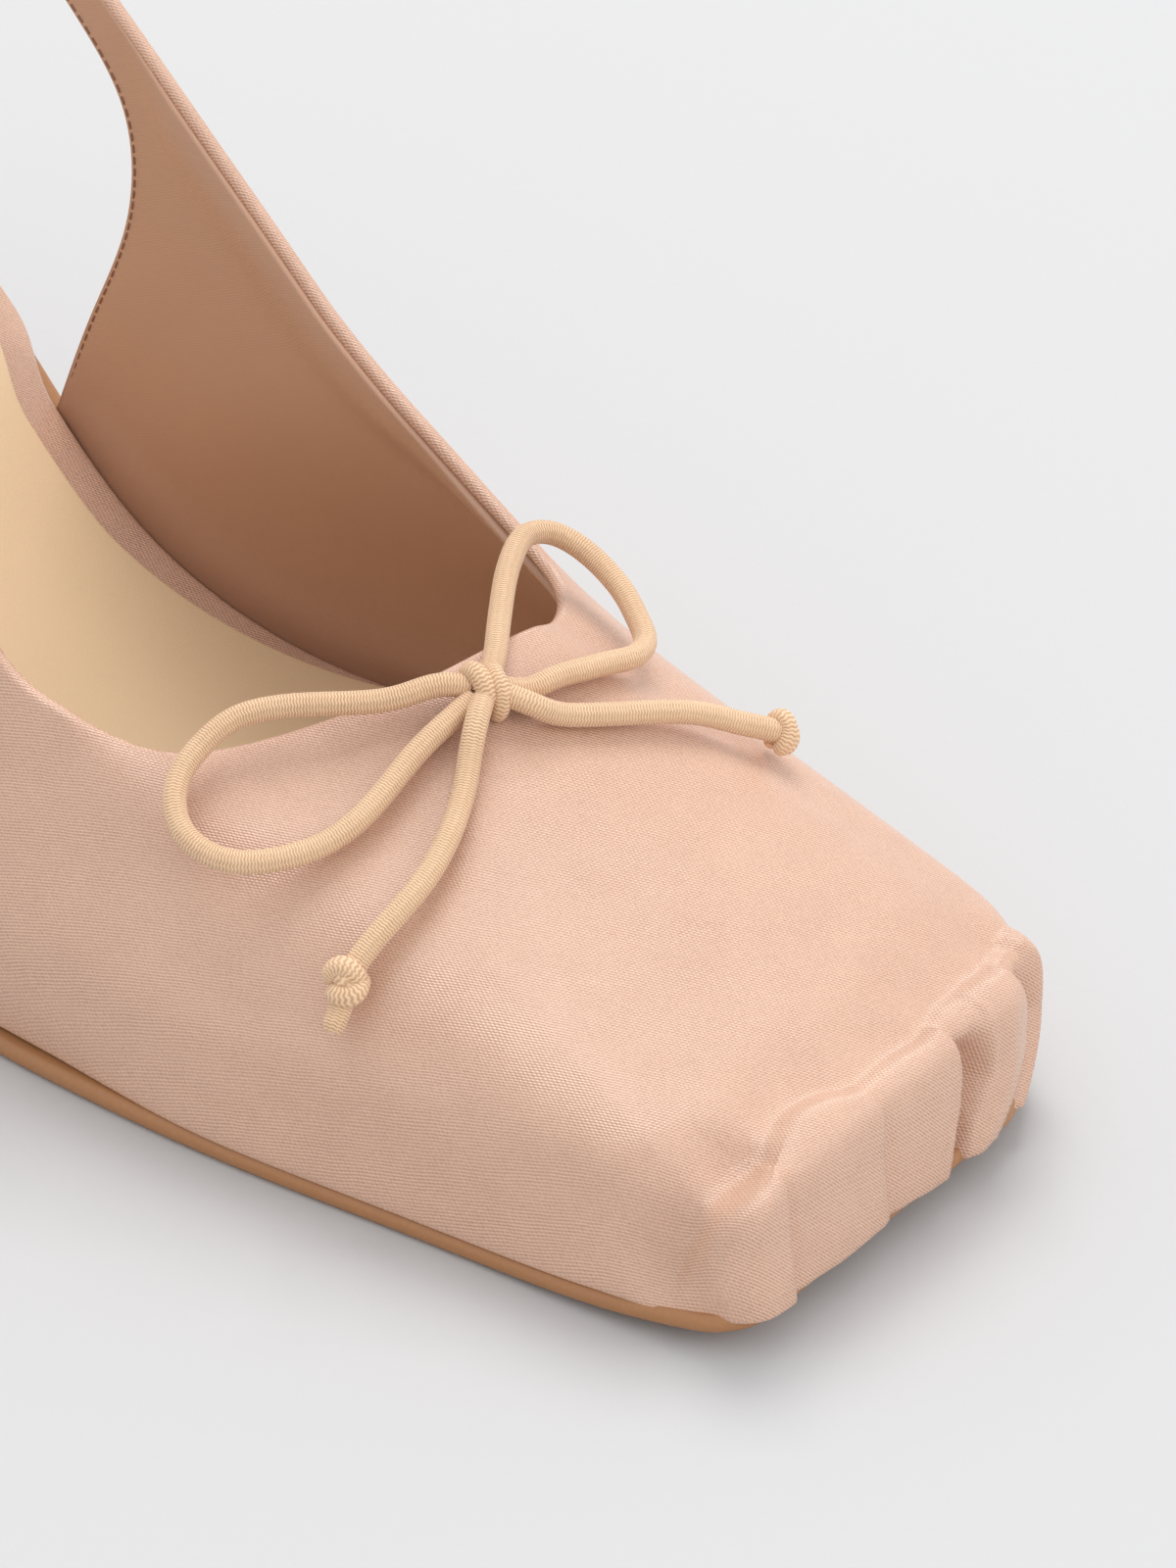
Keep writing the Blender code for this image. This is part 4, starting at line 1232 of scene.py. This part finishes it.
def leather_material(name, colour, roughness, scale, depth, variation):
    """Leather or a painted leather edge: grain in the colour, the gloss and the relief."""
    material, tree, shader = new_material(name)
    vector = object_place(tree)
    grain = place_group(tree, grain_group(), vector, Scale=scale)
    mottle = place_group(tree, mottle_group(), vector, Strength=1.0)
    dark = tuple(channel * (1 - variation) for channel in colour)
    light = tuple(min(channel * (1 + variation), 1.0) for channel in colour)
    soft = math_node(tree, "MULTIPLY", mottle.outputs["Tone"], 0.5)
    tone = math_node(tree, "MULTIPLY_ADD", grain.outputs["Tone"], 0.5, soft)
    tree.links.new(mix_colours(tree, tone, dark, light), shader.inputs["Base Color"])
    gloss = math_node(tree, "MULTIPLY_ADD", grain.outputs["Tone"], -0.1, roughness + 0.05)
    tree.links.new(gloss, shader.inputs["Roughness"])
    tree.links.new(bump_node(tree, grain.outputs["Height"], depth), shader.inputs["Normal"])
    return material


def cord_material(settings):
    """Elastic cord: fine ribs across it, drawn into a slight zigzag by its braid, from the UV map."""
    material, tree, shader = new_material("cord_braid")
    vector = tree.nodes.new("ShaderNodeTexCoord").outputs["UV"]
    place_in_space = object_place(tree)
    parts = node(tree, "ShaderNodeSeparateXYZ")
    tree.links.new(vector, parts.inputs[0])
    along, round_it = parts.outputs["X"], parts.outputs["Y"]
    braid = math_node(tree, "PINGPONG", round_it, BRAID_WIDTH)
    wander = math_node(tree, "MULTIPLY", noise_node(tree, place_in_space, 700.0, 2.0), 0.00016)
    zigzag = math_node(tree, "ADD", math_node(tree, "MULTIPLY", braid, 0.25), wander)
    shifted = math_node(tree, "ADD", along, zigzag)
    ribs = math_node(tree, "SINE", math_node(tree, "MULTIPLY", shifted, 2 * np.pi / settings.rib))
    columns = math_node(tree, "SINE", math_node(tree, "MULTIPLY", round_it, np.pi / BRAID_WIDTH))
    fine = noise_node(tree, place_in_space, 4200.0, 2.0, 0.6)
    height = math_node(tree, "MULTIPLY_ADD", ribs, 0.34, 0.5)
    height = math_node(tree, "MULTIPLY_ADD", columns, 0.05, height)
    height = math_node(tree, "MULTIPLY_ADD", math_node(tree, "SUBTRACT", fine, 0.5), 0.5, height)
    mottle = place_group(tree, mottle_group(), place_in_space, Strength=0.8)
    tone = math_node(tree, "ADD", height, math_node(tree, "SUBTRACT", mottle.outputs["Tone"], 0.5))
    tone = range_node(tree, tone, 0.1, 0.75, 0.0, 1.0)
    tree.links.new(mix_colours(tree, tone, settings.shade, settings.colour), shader.inputs["Base Color"])
    tree.links.new(bump_node(tree, height, 0.00010), shader.inputs["Normal"])
    shader.inputs["Roughness"].default_value = 0.72
    shader.inputs["Sheen Weight"].default_value = 0.2
    shader.inputs["Specular IOR Level"].default_value = 0.35
    return material


def thread_and_hole_shade_material(colour):
    """Sewing thread: two plies twisted round each other, from Object coordinates, in a dark brown that is
    partly its own colour and partly painted shade of its needle holes.
    """
    material, tree, shader = new_material("sewing_thread")
    vector = object_place(tree)
    ply = math_node(tree, "MULTIPLY", dot_node(tree, vector, (0.6, 0.6, 0.5)), 2 * np.pi / THREAD_TWIST)
    twist = math_node(tree, "SINE", ply)
    fine = noise_node(tree, vector, 4000.0)
    tone = math_node(tree, "MULTIPLY_ADD", twist, 0.25, fine)
    light = tuple(min(channel * 1.5, 1.0) for channel in colour)
    tree.links.new(mix_colours(tree, tone, colour, light), shader.inputs["Base Color"])
    tree.links.new(bump_node(tree, tone, 0.00003), shader.inputs["Normal"])
    shader.inputs["Roughness"].default_value = 0.7
    return material


def floor_material(colour):
    """Pale matt paper with a barely visible tooth."""
    material, tree, shader = new_material("studio_paper")
    vector = object_place(tree)
    tooth = noise_node(tree, vector, 700.0, 3.0, 0.6)
    dark = tuple(channel * 0.985 for channel in colour)
    tree.links.new(mix_colours(tree, tooth, dark, colour), shader.inputs["Base Color"])
    tree.links.new(bump_node(tree, tooth, 0.00002), shader.inputs["Normal"])
    shader.inputs["Roughness"].default_value = 0.9
    return material


def satin():
    """The outer satin of upper, insole rim and heel, made when the first piece asks for it."""
    name = "outer_satin"
    if name in bpy.data.materials:
        return bpy.data.materials[name]
    settings = bpy.context.scene.pump_satin
    return satin_material(
        name, settings.colour, settings.shade, roughness=0.35, weave=1.0, pitch=0.00028, sheen=0.14,
    )


def view_axes(azimuth, elevation, roll):
    """Right, up and backward directions of a camera turned round the shoe, raised and rolled."""
    a, e, r = np.radians([azimuth, elevation, roll])
    back = np.array([np.sin(a) * np.cos(e), -np.cos(a) * np.cos(e), np.sin(e)])
    right = np.array([np.cos(a), np.sin(a), 0])
    up = np.cross(back, right)
    return np.cos(r) * right + np.sin(r) * up, -np.sin(r) * right + np.cos(r) * up, back


def add_area_light(name, direction, size, power, colour):
    """A square soft light, aimed at the camera's target from a direction."""
    data = bpy.data.lights.new(name, "AREA")
    data.size = size
    data.energy = power
    data.color = colour
    item = bpy.data.objects.new(name, data)
    spot = Vector(VIEW_TARGET) + Vector(direction).normalized() * LIGHT_DISTANCE
    turn = Vector(direction).to_track_quat("Z", "Y").to_matrix().to_4x4()
    item.matrix_world = Matrix.Translation(spot) @ turn
    bpy.context.scene.collection.objects.link(item)


class PUMP_OT_stage(bpy.types.Operator):
    """Camera at the photograph's angle, pale floor, surround and two soft lights"""

    bl_idname = "pump.stage"
    bl_label = "Stage"

    def execute(self, context):
        scene = context.scene
        settings = scene.pump_stage
        axes = view_axes(settings.azimuth, settings.elevation, settings.roll)
        right, up, back = (Vector(axis) for axis in axes)
        data = bpy.data.cameras.new("camera")
        data.lens = settings.lens
        data.clip_end = 20.0
        camera = bpy.data.objects.new("camera", data)
        turn = Matrix((right, up, back)).transposed().to_4x4()
        camera.matrix_world = Matrix.Translation(Vector(VIEW_TARGET) + back * settings.distance) @ turn
        scene.collection.objects.link(camera)
        scene.camera = camera
        scene.view_settings.view_transform = "Standard"
        world = bpy.data.worlds.new("surround")
        world.use_nodes = True
        background = world.node_tree.nodes["Background"]
        background.inputs["Color"].default_value = (0.97, 0.98, 1.0, 1.0)
        background.inputs["Strength"].default_value = settings.sky
        scene.world = world
        corners = [(x * FLOOR_HALF, y * FLOOR_HALF, 0) for x, y in ((-1, -1), (1, -1), (1, 1), (-1, 1))]
        floor = new_piece("studio_floor", corners, [(0, 1, 2, 3)], floor_material(settings.floor))
        behind = Vector((-up.x, -up.y, 0)).normalized() * -0.54
        behind.z = 1.0
        add_area_light("key_light", behind, 1.3, settings.key, (1.0, 0.99, 0.975))
        front = right * 0.75 + back * 0.55
        front.z = 0.45
        add_area_light("fill_light", front, 1.6, settings.fill, (1.0, 0.99, 0.98))
        return {"FINISHED"}


class PUMP_OT_bow(bpy.types.Operator):
    """Bow of round elastic cord: two loops and two tails from a knot of three strands"""

    bl_idname = "pump.bow"
    bl_label = "Bow"

    def execute(self, context):
        settings = context.scene.pump_bow
        cord = cord_material(settings)
        radius = settings.diameter / 2
        step = settings.diameter / 6
        knot = self.knot("bow_knot_strands", "bow_knot", BOW_KNOT, BOW_STRANDS, cord, step)
        near_end = self.knot("tail_knot_near", "end_knot_near", NEAR_END_KNOT, NEAR_STRANDS, cord, step)
        far_end = self.knot("tail_knot_far", "end_knot_far", FAR_END_KNOT, FAR_STRANDS, cord, step)
        for name, node_name, route, end, far, pieces in (
            ("cord_loop_near", "bow_loop_near", BOW_LOOP_NEAR, BOW_KNOT, "object", [knot]),
            ("cord_loop_far", "bow_loop_far", BOW_LOOP_FAR, BOW_KNOT, "object", []),
            ("cord_tail_near", "bow_tail_near", BOW_TAIL_NEAR, NEAR_END_KNOT, "knot", [near_end]),
            ("cord_tail_far", "bow_tail_far", BOW_TAIL_FAR, FAR_END_KNOT, "knot", [far_end]),
        ):
            route = self.into_knots(self.sagged(route, end == BOW_KNOT), end)
            points, faces, uv, caps = tube(route, radius, step, sides=20)
            piece = dress(new_piece(name, points, faces, cord, uv, caps), "cord", node_name)
            line = spline(np.arange(len(route)), route)(np.linspace(0, len(route) - 1, 200))
        return {"FINISHED"}

    @staticmethod
    def knot(name, solid, middle, strands, cord, step):
        """A knot's strands joined into one piece that stands for the knot's solid."""
        points, faces, uv, caps = joined(knot_parts(middle, strands, step))
        return dress(new_piece(name, points, faces, cord, uv, caps), "cord", solid)

    @staticmethod
    def sagged(route, both):
        """The route with its points next to the bow's knot lowered down the photograph."""
        route = np.array(route)
        down = -knot_axes()[1] * KNOT_SAG
        route[: len(SAG_START)] += np.outer(SAG_START, down)
        if both:
            route[-len(SAG_END):] += np.outer(SAG_END, down)
        return route

    @staticmethod
    def into_knots(route, end):
        """The route carried on into the bow's knot, and at its other end into the knot there."""
        middle = np.array(BOW_KNOT) - knot_axes()[1] * KNOT_SAG
        target = middle if end == BOW_KNOT else np.array(end)
        first = route[0] + (middle - route[0]) * INTO_KNOT
        last = route[-1] + (target - route[-1]) * INTO_KNOT
        return np.concatenate([[first], route, [last]])


class PUMP_OT_upper(bpy.types.Operator):
    """Satin upper: vamp, quarters and sling band, gathered at the toe and folded over its topline"""

    bl_idname = "pump.upper"
    bl_label = "Satin upper"

    def execute(self, context):
        settings = context.scene.pump_satin
        at = loop_columns(SATIN_COLUMNS)
        controls = control_rows(at)
        fold = settings.fold / 2
        turn_under = 0.0006
        low, foot_up = edge_margin(controls, turn_under)
        margin, top_up = edge_margin(controls, fold, top=True)
        high = 1 - margin
        even = np.linspace(0, 1, 400)
        density = np.ones(len(even))
        for extra, centre, width in ROW_DENSITY:
            density = density + extra * np.exp(-(((even - centre) / width) ** 2))
        placed = np.concatenate([[0], np.cumsum((density[1:] + density[:-1]) / 2)])
        shares = np.interp(np.linspace(0, placed[-1], FACE_ROWS), placed, even)[:, None]
        face = on_upper(controls, low + (high - low) * shares)
        normal = face_normals(face)
        face += corner_hollow(face, normal)
        run = np.broadcast_to(edge_run(at), face.shape[:2])
        relief = satin_relief(face, normal, run, settings)
        outer = face + normal * relief[..., None]
        outer[..., 2] -= self.hang(face, run)
        sunk = np.minimum(relief, 0)[..., None]
        rows = [outer]
        centre = outer[-1] - normal[-1] * fold
        for angle in np.linspace(0, np.pi, 8)[1:]:
            rows.append((centre + fold * (normal[-1] * np.cos(angle) + top_up * np.sin(angle)))[None])
        inside = rows[-1][0]
        for down, outward in ((0.5, 0.0), (0.9, 0.0), (1.15, 0.00025), (1.3, 0.0005)):
            rows.append((inside - top_up * settings.return_depth * down + normal[-1] * outward)[None])
        hidden = np.linspace(*HIDDEN_ROWS).astype(int)
        rows.append((face + normal * (sunk - settings.fold * 0.6))[hidden])
        centre = outer[0] - normal[0] * turn_under
        for angle in np.linspace(np.pi, 0, 7)[:-1]:
            rows.append((centre + turn_under * (normal[0] * np.cos(angle) - foot_up * np.sin(angle)))[None])
        grid = np.concatenate(rows)
        faces, _ = ring_faces(len(grid), len(at), close_rows=True)
        dress(new_piece("satin_upper", grid, faces, satin()), "satin", "upper")
        return {"FINISHED"}

    @staticmethod
    def hang(face, run):
        """How far the satin sinks over the sole's edge: most at the toe, less along the sides."""
        share = np.abs(run) / BALL_WIDTH
        above = face[..., 2] - sole_height(LENGTH / 2 - face[..., 0])
        low = 1 - smooth(above, *HANG_HEIGHT)
        return low * (HANG_SIDE * smooth(share, 1.5, 1.2) + HANG_TOE * smooth(share, 0.55, 0.36))


class PUMP_OT_lining(bpy.types.Operator):
    """Smooth lining inside the upper, its edge turned under just below the folded topline"""

    bl_idname = "pump.lining"
    bl_label = "Lining"

    def execute(self, context):
        settings = context.scene.pump_satin
        at = loop_columns(LINING_COLUMNS)
        controls = control_rows(at)
        bead = 0.0004
        low, _ = edge_margin(controls, bead)
        margin, top_up = edge_margin(controls, settings.return_depth + bead, top=True)
        high = 1 - margin
        shares = np.linspace(0, 1, LINING_ROWS)[:, None]
        face = on_upper(controls, low + (high - low) * shares)
        normal = face_normals(face)
        face += corner_hollow(face, normal)
        run = np.broadcast_to(edge_run(at), face.shape[:2])
        sunk = np.minimum(satin_relief(face, normal, run, settings), 0)
        below = np.linalg.norm(face - controls[-1], axis=2)
        above = np.linalg.norm(face - controls[0], axis=2)
        swollen = np.exp(-(((below - ROLL_BELOW) / ROLL_WIDTH) ** 2))
        roll = settings.roll * swollen * smooth(above, 0.004, 0.012)
        on_sole = smooth(np.abs(at), len(SECTIONS), len(SECTIONS) - 2)
        swell = LINING_SWELL * smooth(above, 0.0095, 0.0035) * on_sole
        inner = face + normal * (sunk - UPPER_WALL - 0.0001 - roll - swell)[..., None]
        outer = face + normal * (sunk - 0.9 * UPPER_WALL)[..., None]
        rows = [outer]
        centre = (outer[-1] + inner[-1]) / 2
        half = (outer[-1] - inner[-1]) / 2
        for angle in np.linspace(0, np.pi, 7)[1:-1]:
            rows.append((centre + half * np.cos(angle) + top_up * bead * np.sin(angle))[None])
        rows.append(inner[::-1])
        grid = np.concatenate(rows)
        faces, _ = ring_faces(len(grid), len(at), close_rows=True)
        shade = tuple(channel * 0.86 for channel in settings.lining)
        material = satin_material(
            "smooth_lining", settings.lining, shade, roughness=0.5, weave=0.35, pitch=0.00022, sheen=0.03,
        )
        dress(new_piece("upper_lining", grid, faces, material), "satin")
        return {"FINISHED"}


class PUMP_OT_stitches(bpy.types.Operator):
    """Stitch rows along the quarters' back edges and the sling, outside and on the lining"""

    bl_idname = "pump.stitches"
    bl_label = "Stitches"

    def execute(self, context):
        settings = context.scene.pump_satin
        at = loop_columns(LINING_COLUMNS)
        controls = control_rows(at)
        last = len(SECTIONS) - 1
        margin, _ = edge_margin(controls, STITCH_INSET)
        face = on_upper(controls, np.stack([margin, 2 * margin]))
        normal = face_normals(face)[0]
        line = face[0]
        free = np.abs(at) > last + 0.25
        parts = []
        for depth in (0.00002, -UPPER_WALL - 0.00014):
            shifted = line + normal * depth
            for sign in (-1, 1):
                own = np.where(free & (np.sign(at) == sign))[0]
                parts += self.row(shifted[own], settings.pitch)
        points, faces, uv, caps = joined(parts)
        # The thread's dark brown carries painted shade of the needle holes besides the thread's own colour.
        thread = thread_and_hole_shade_material(settings.thread)
        dress(new_piece("edge_stitches", points, faces, thread, uv, caps), "cord")
        return {"FINISHED"}

    @staticmethod
    def row(line, pitch):
        """Short rounded stitches, end to end along a line, each a little shorter than the pitch."""
        run = np.concatenate([[0], np.cumsum(np.linalg.norm(np.diff(line, axis=0), axis=1))])
        path = spline(run, line)
        starts = np.arange(0.0004, run[-1] - pitch, pitch)
        long = pitch * STITCH_SHARE
        halves = long * np.array([0, 0.5, 1])
        return [
            tube(path(start + halves), THREAD_RADIUS, long / 5, sides=7, end_round=1.2)
            for start in starts
        ]


def layer_grid(low, high, inset, bead, backs):
    """Points of a sole layer: slices across the last, each a flat band with half-round edges.

    At a slice the layer's half height is h, drawn in by sqrt(1 - (1 - d/b)^2) within the bead's
    depth b of its front and back ends. Across, the edge at angle t lies b cos t beyond the flat and
    h sin t above the middle.
    """
    backs = np.asarray(backs, float)
    trim = np.array([inset(back) for back in backs])
    lateral, medial = reach(backs, trim)
    first, last = backs[0], backs[-1]
    ends = np.minimum(backs - first, last - backs) + bead * 0.04
    draw = np.sqrt(1 - np.clip(1 - ends / bead, 0, 1) ** 2)
    half = (lateral + medial) / 2
    depth = np.minimum(bead, half * 0.45)
    middle = (medial - lateral) / 2
    flat = np.linspace(-1, 1, FLAT_POINTS)[1:-1]
    turn = np.linspace(-np.pi / 2, np.pi / 2, EDGE_POINTS)
    ones = np.ones(EDGE_POINTS)
    still = np.zeros(len(flat))
    level = np.ones(len(flat))
    side = np.concatenate([flat, ones, flat[::-1], -ones])
    beyond = np.concatenate([still, np.cos(turn), still, -np.cos(turn)])
    lift = np.concatenate([-level, np.sin(turn), level, np.sin(turn[::-1])])
    across = middle[:, None] + side * (half - depth)[:, None] + beyond * depth[:, None]
    above = (low + high) / 2 + lift * draw[:, None] * (high - low) / 2
    return on_last(backs[:, None], across, above)


def layer_backs(inset_toe, inset_seat, bead):
    """Places of the slices: close at the front bead, round the toe's corners and the seat's end."""
    front = inset_toe + bead * (1 - np.cos(np.linspace(0, np.pi / 2, 8)))
    corner = np.linspace(inset_toe + bead, max(TOE_CORNERS), 20)[1:]
    middle = np.linspace(corner[-1], LENGTH - SEAT_ROUND, 150)[1:-1]
    length = SEAT_ROUND - inset_seat
    seat = LENGTH - SEAT_ROUND + length * np.sin(np.linspace(0, np.pi / 2 * 0.992, 34))
    return np.concatenate([front, corner, middle, seat])


def capped_piece(name, grid, material, slot, solid):
    """A piece through the rings of a grid, closed by a flat face at each end, for its solid."""
    rows, columns = grid.shape[:2]
    faces, _ = ring_faces(rows, columns)
    return dress(new_piece(name, grid, faces, material, caps=end_caps(rows, columns)), slot, solid)


def layer_piece(name, low, high, inset, bead, material, slot, solid):
    """One sole layer as a closed piece that stands for its solid."""
    grid = layer_grid(low, high, inset, bead, layer_backs(inset(0), inset(LENGTH), bead))
    return capped_piece(name, grid, material, slot, solid)


def board_inset(back):
    """The board sits inside the upper, and beyond the quarter it comes out to the sole's edge."""
    inside = FEATHER_INSET + UPPER_WALL + 2 * GAP
    return inside + (SEAT_INSET - inside) * smooth(back / LENGTH, BOARD_LEAVES, BOARD_OUT)


def sock_inset(back):
    """The sock stops short of the board's edge: by nothing at the ball, by a bare rim at the waist."""
    share = np.clip((back / LENGTH - RIM_START) / (RIM_FULL - RIM_START), 0, 1)
    return board_inset(back) + 0.0009 + RIM_WIDTH * share


class PUMP_OT_sole(bpy.types.Operator):
    """Thin tan outsole with a beaded edge, satin-wrapped insole board and leather sock"""

    bl_idname = "pump.sole"
    bl_label = "Sole and insole"

    def execute(self, context):
        settings = context.scene.pump_sole
        edge = leather_material(
            "sole_edge_paint", settings.edge, roughness=0.42, scale=900.0, depth=0.00002, variation=0.10,
        )
        layer_piece(
            "outsole_leather", 0, OUTSOLE_THICKNESS, lambda back: 0.0, settings.bead,
            edge, "sole_leather", "outsole",
        )
        low = OUTSOLE_THICKNESS + GAP
        layer_piece(
            "wrapped_board", low, low + BOARD_THICKNESS, board_inset, 0.0012,
            satin(), "satin", "insole_board",
        )
        low = OUTSOLE_THICKNESS + BOARD_THICKNESS + 2 * GAP
        sock = leather_material(
            "sock_grain", settings.sock, roughness=0.55, scale=2600.0, depth=0.00002, variation=0.06,
        )
        layer_piece(
            "leather_sock", low, low + SOCK_THICKNESS, sock_inset, 0.0006,
            sock, "sock_leather", "insole_sock",
        )
        return {"FINISHED"}


def heel_ring(share):
    """One ring of the heel at a share of its height: a round back closed by a straight breast."""
    turn = np.linspace(-np.pi / 2, np.pi / 2, HEEL_POINTS)
    seat_front = LENGTH - HEEL_TOP_DEPTH
    seat_back = LENGTH - HEEL_INSET
    tip_front = LENGTH - HEEL_TIP_BACK - HEEL_TIP_DEPTH
    middle = heel_middle()
    seat_at = seat_front + (seat_back - seat_front) * np.cos(turn) ** HEEL_SEAT_POWER
    low, high = reach(seat_at, HEEL_INSET)
    seat_across = np.where(turn < 0, -low, high)
    tip_at = tip_front + HEEL_TIP_DEPTH * np.cos(turn) ** HEEL_TIP_POWER
    tip_across = middle + HEEL_TIP_WIDTH / 2 * np.sign(turn) * np.abs(np.sin(turn)) ** HEEL_SIDE_POWER
    breast = np.linspace(1, -1, 18)[1:-1]
    seat_at = np.concatenate([seat_at, np.full(len(breast), seat_front)])
    tip_at = np.concatenate([tip_at, np.full(len(breast), tip_front)])
    seat_half = (seat_across[-1] - seat_across[0]) / 2
    seat_middle = (seat_across[-1] + seat_across[0]) / 2
    seat_across = np.concatenate([seat_across, seat_middle + seat_half * breast])
    tip_across = np.concatenate([tip_across, middle + HEEL_TIP_WIDTH / 2 * breast])
    top = on_last(seat_at, seat_across, -GAP)
    foot = np.stack([LENGTH / 2 - tip_at, tip_across, np.full(len(tip_at), HEEL_TIP_THICKNESS + GAP)], axis=1)
    ring = foot + (top - foot) * share**HEEL_WAIST
    ring[:, 2] = foot[:, 2] + (top[:, 2] - foot[:, 2]) * share
    return ring


def softened_ring(ring, width):
    """A ring with its corners rounded: each point averaged with its neighbours within a width."""
    following = np.roll(ring, -1, axis=0)
    spans = np.linalg.norm(following - ring, axis=1)
    run = np.concatenate([[0], np.cumsum(spans)])
    closed = np.concatenate([ring, ring[:1]])
    even = np.linspace(0, run[-1], 160, endpoint=False)
    offsets = np.linspace(-width, width, 9)
    spots = (even[:, None] + offsets) % run[-1]
    return np.stack([np.interp(spots, run, closed[:, k]).mean(1) for k in range(3)], axis=1)


class PUMP_OT_heel(bpy.types.Operator):
    """Satin-covered heel block and its rubber top piece"""

    bl_idname = "pump.heel"
    bl_label = "Heel"

    def execute(self, context):
        settings = context.scene.pump_sole
        rings = [softened_ring(heel_ring(share), 0.0009) for share in np.linspace(0, 1, 70)]
        self.closed("satin_heel", rings, satin(), "satin", "heel")
        foot = softened_ring(heel_ring(0.0), 0.0009)
        middle = foot.mean(0)
        rings = []
        for height, draw in TIP_RINGS:
            ring = middle + (foot - middle) * draw
            ring[:, 2] = height
            rings.append(ring)
        rubber = leather_material(
            "rubber_top_piece", settings.rubber, roughness=0.6, scale=2200.0, depth=0.00004, variation=0.2,
        )
        self.closed("rubber_tip", rings, rubber, "tip_rubber", "heel_tip")
        return {"FINISHED"}

    @staticmethod
    def closed(name, rings, material, slot, solid):
        """A capped piece whose steep edges stay sharp."""
        item = capped_piece(name, np.array(rings), material, slot, solid)
        item.data.set_sharp_from_angle(angle=np.radians(50))


class PUMP_PT_panel(bpy.types.Panel):
    """Sizes, colours and pieces of the pump"""

    bl_label = "Slingback Pump"
    bl_idname = "PUMP_PT_panel"
    bl_space_type = "VIEW_3D"
    bl_region_type = "UI"
    bl_category = "Pump"

    def draw(self, context):
        for group, operators in PANEL_ROWS:
            box = self.layout.box()
            settings = getattr(context.scene, group)
            for name in settings.__annotations__:
                box.prop(settings, name)
            for operator in operators:
                box.operator(operator)


PANEL_ROWS = (
    # settings, operators
    ("pump_stage", ("pump.stage",)),
    ("pump_bow", ("pump.bow",)),
    ("pump_satin", ("pump.upper", "pump.lining", "pump.stitches")),
    ("pump_sole", ("pump.sole", "pump.heel")),
)
SETTINGS = (
    ("pump_stage", PumpStage),
    ("pump_bow", PumpBow),
    ("pump_satin", PumpSatin),
    ("pump_sole", PumpSole),
)
OPERATORS = (
    PUMP_OT_stage,
    PUMP_OT_bow,
    PUMP_OT_upper,
    PUMP_OT_lining,
    PUMP_OT_stitches,
    PUMP_OT_sole,
    PUMP_OT_heel,
)


def register():
    """Adds the settings, operators and panel."""
    for name, group in SETTINGS:
        bpy.utils.register_class(group)
        setattr(bpy.types.Scene, name, bpy.props.PointerProperty(type=group))
    for operator in OPERATORS:
        bpy.utils.register_class(operator)
    bpy.utils.register_class(PUMP_PT_panel)


def unregister():
    """Takes them away again, last one first."""
    bpy.utils.unregister_class(PUMP_PT_panel)
    for operator in reversed(OPERATORS):
        bpy.utils.unregister_class(operator)
    for name, group in reversed(SETTINGS):
        delattr(bpy.types.Scene, name)
        bpy.utils.unregister_class(group)


def main():
    """Makes the stage, the bow and the other pieces."""
    register()
    bpy.ops.pump.stage()
    bpy.ops.pump.bow()
    bpy.ops.pump.upper()
    bpy.ops.pump.lining()
    bpy.ops.pump.stitches()
    bpy.ops.pump.sole()
    bpy.ops.pump.heel()


if __name__ == "__main__":
    main()
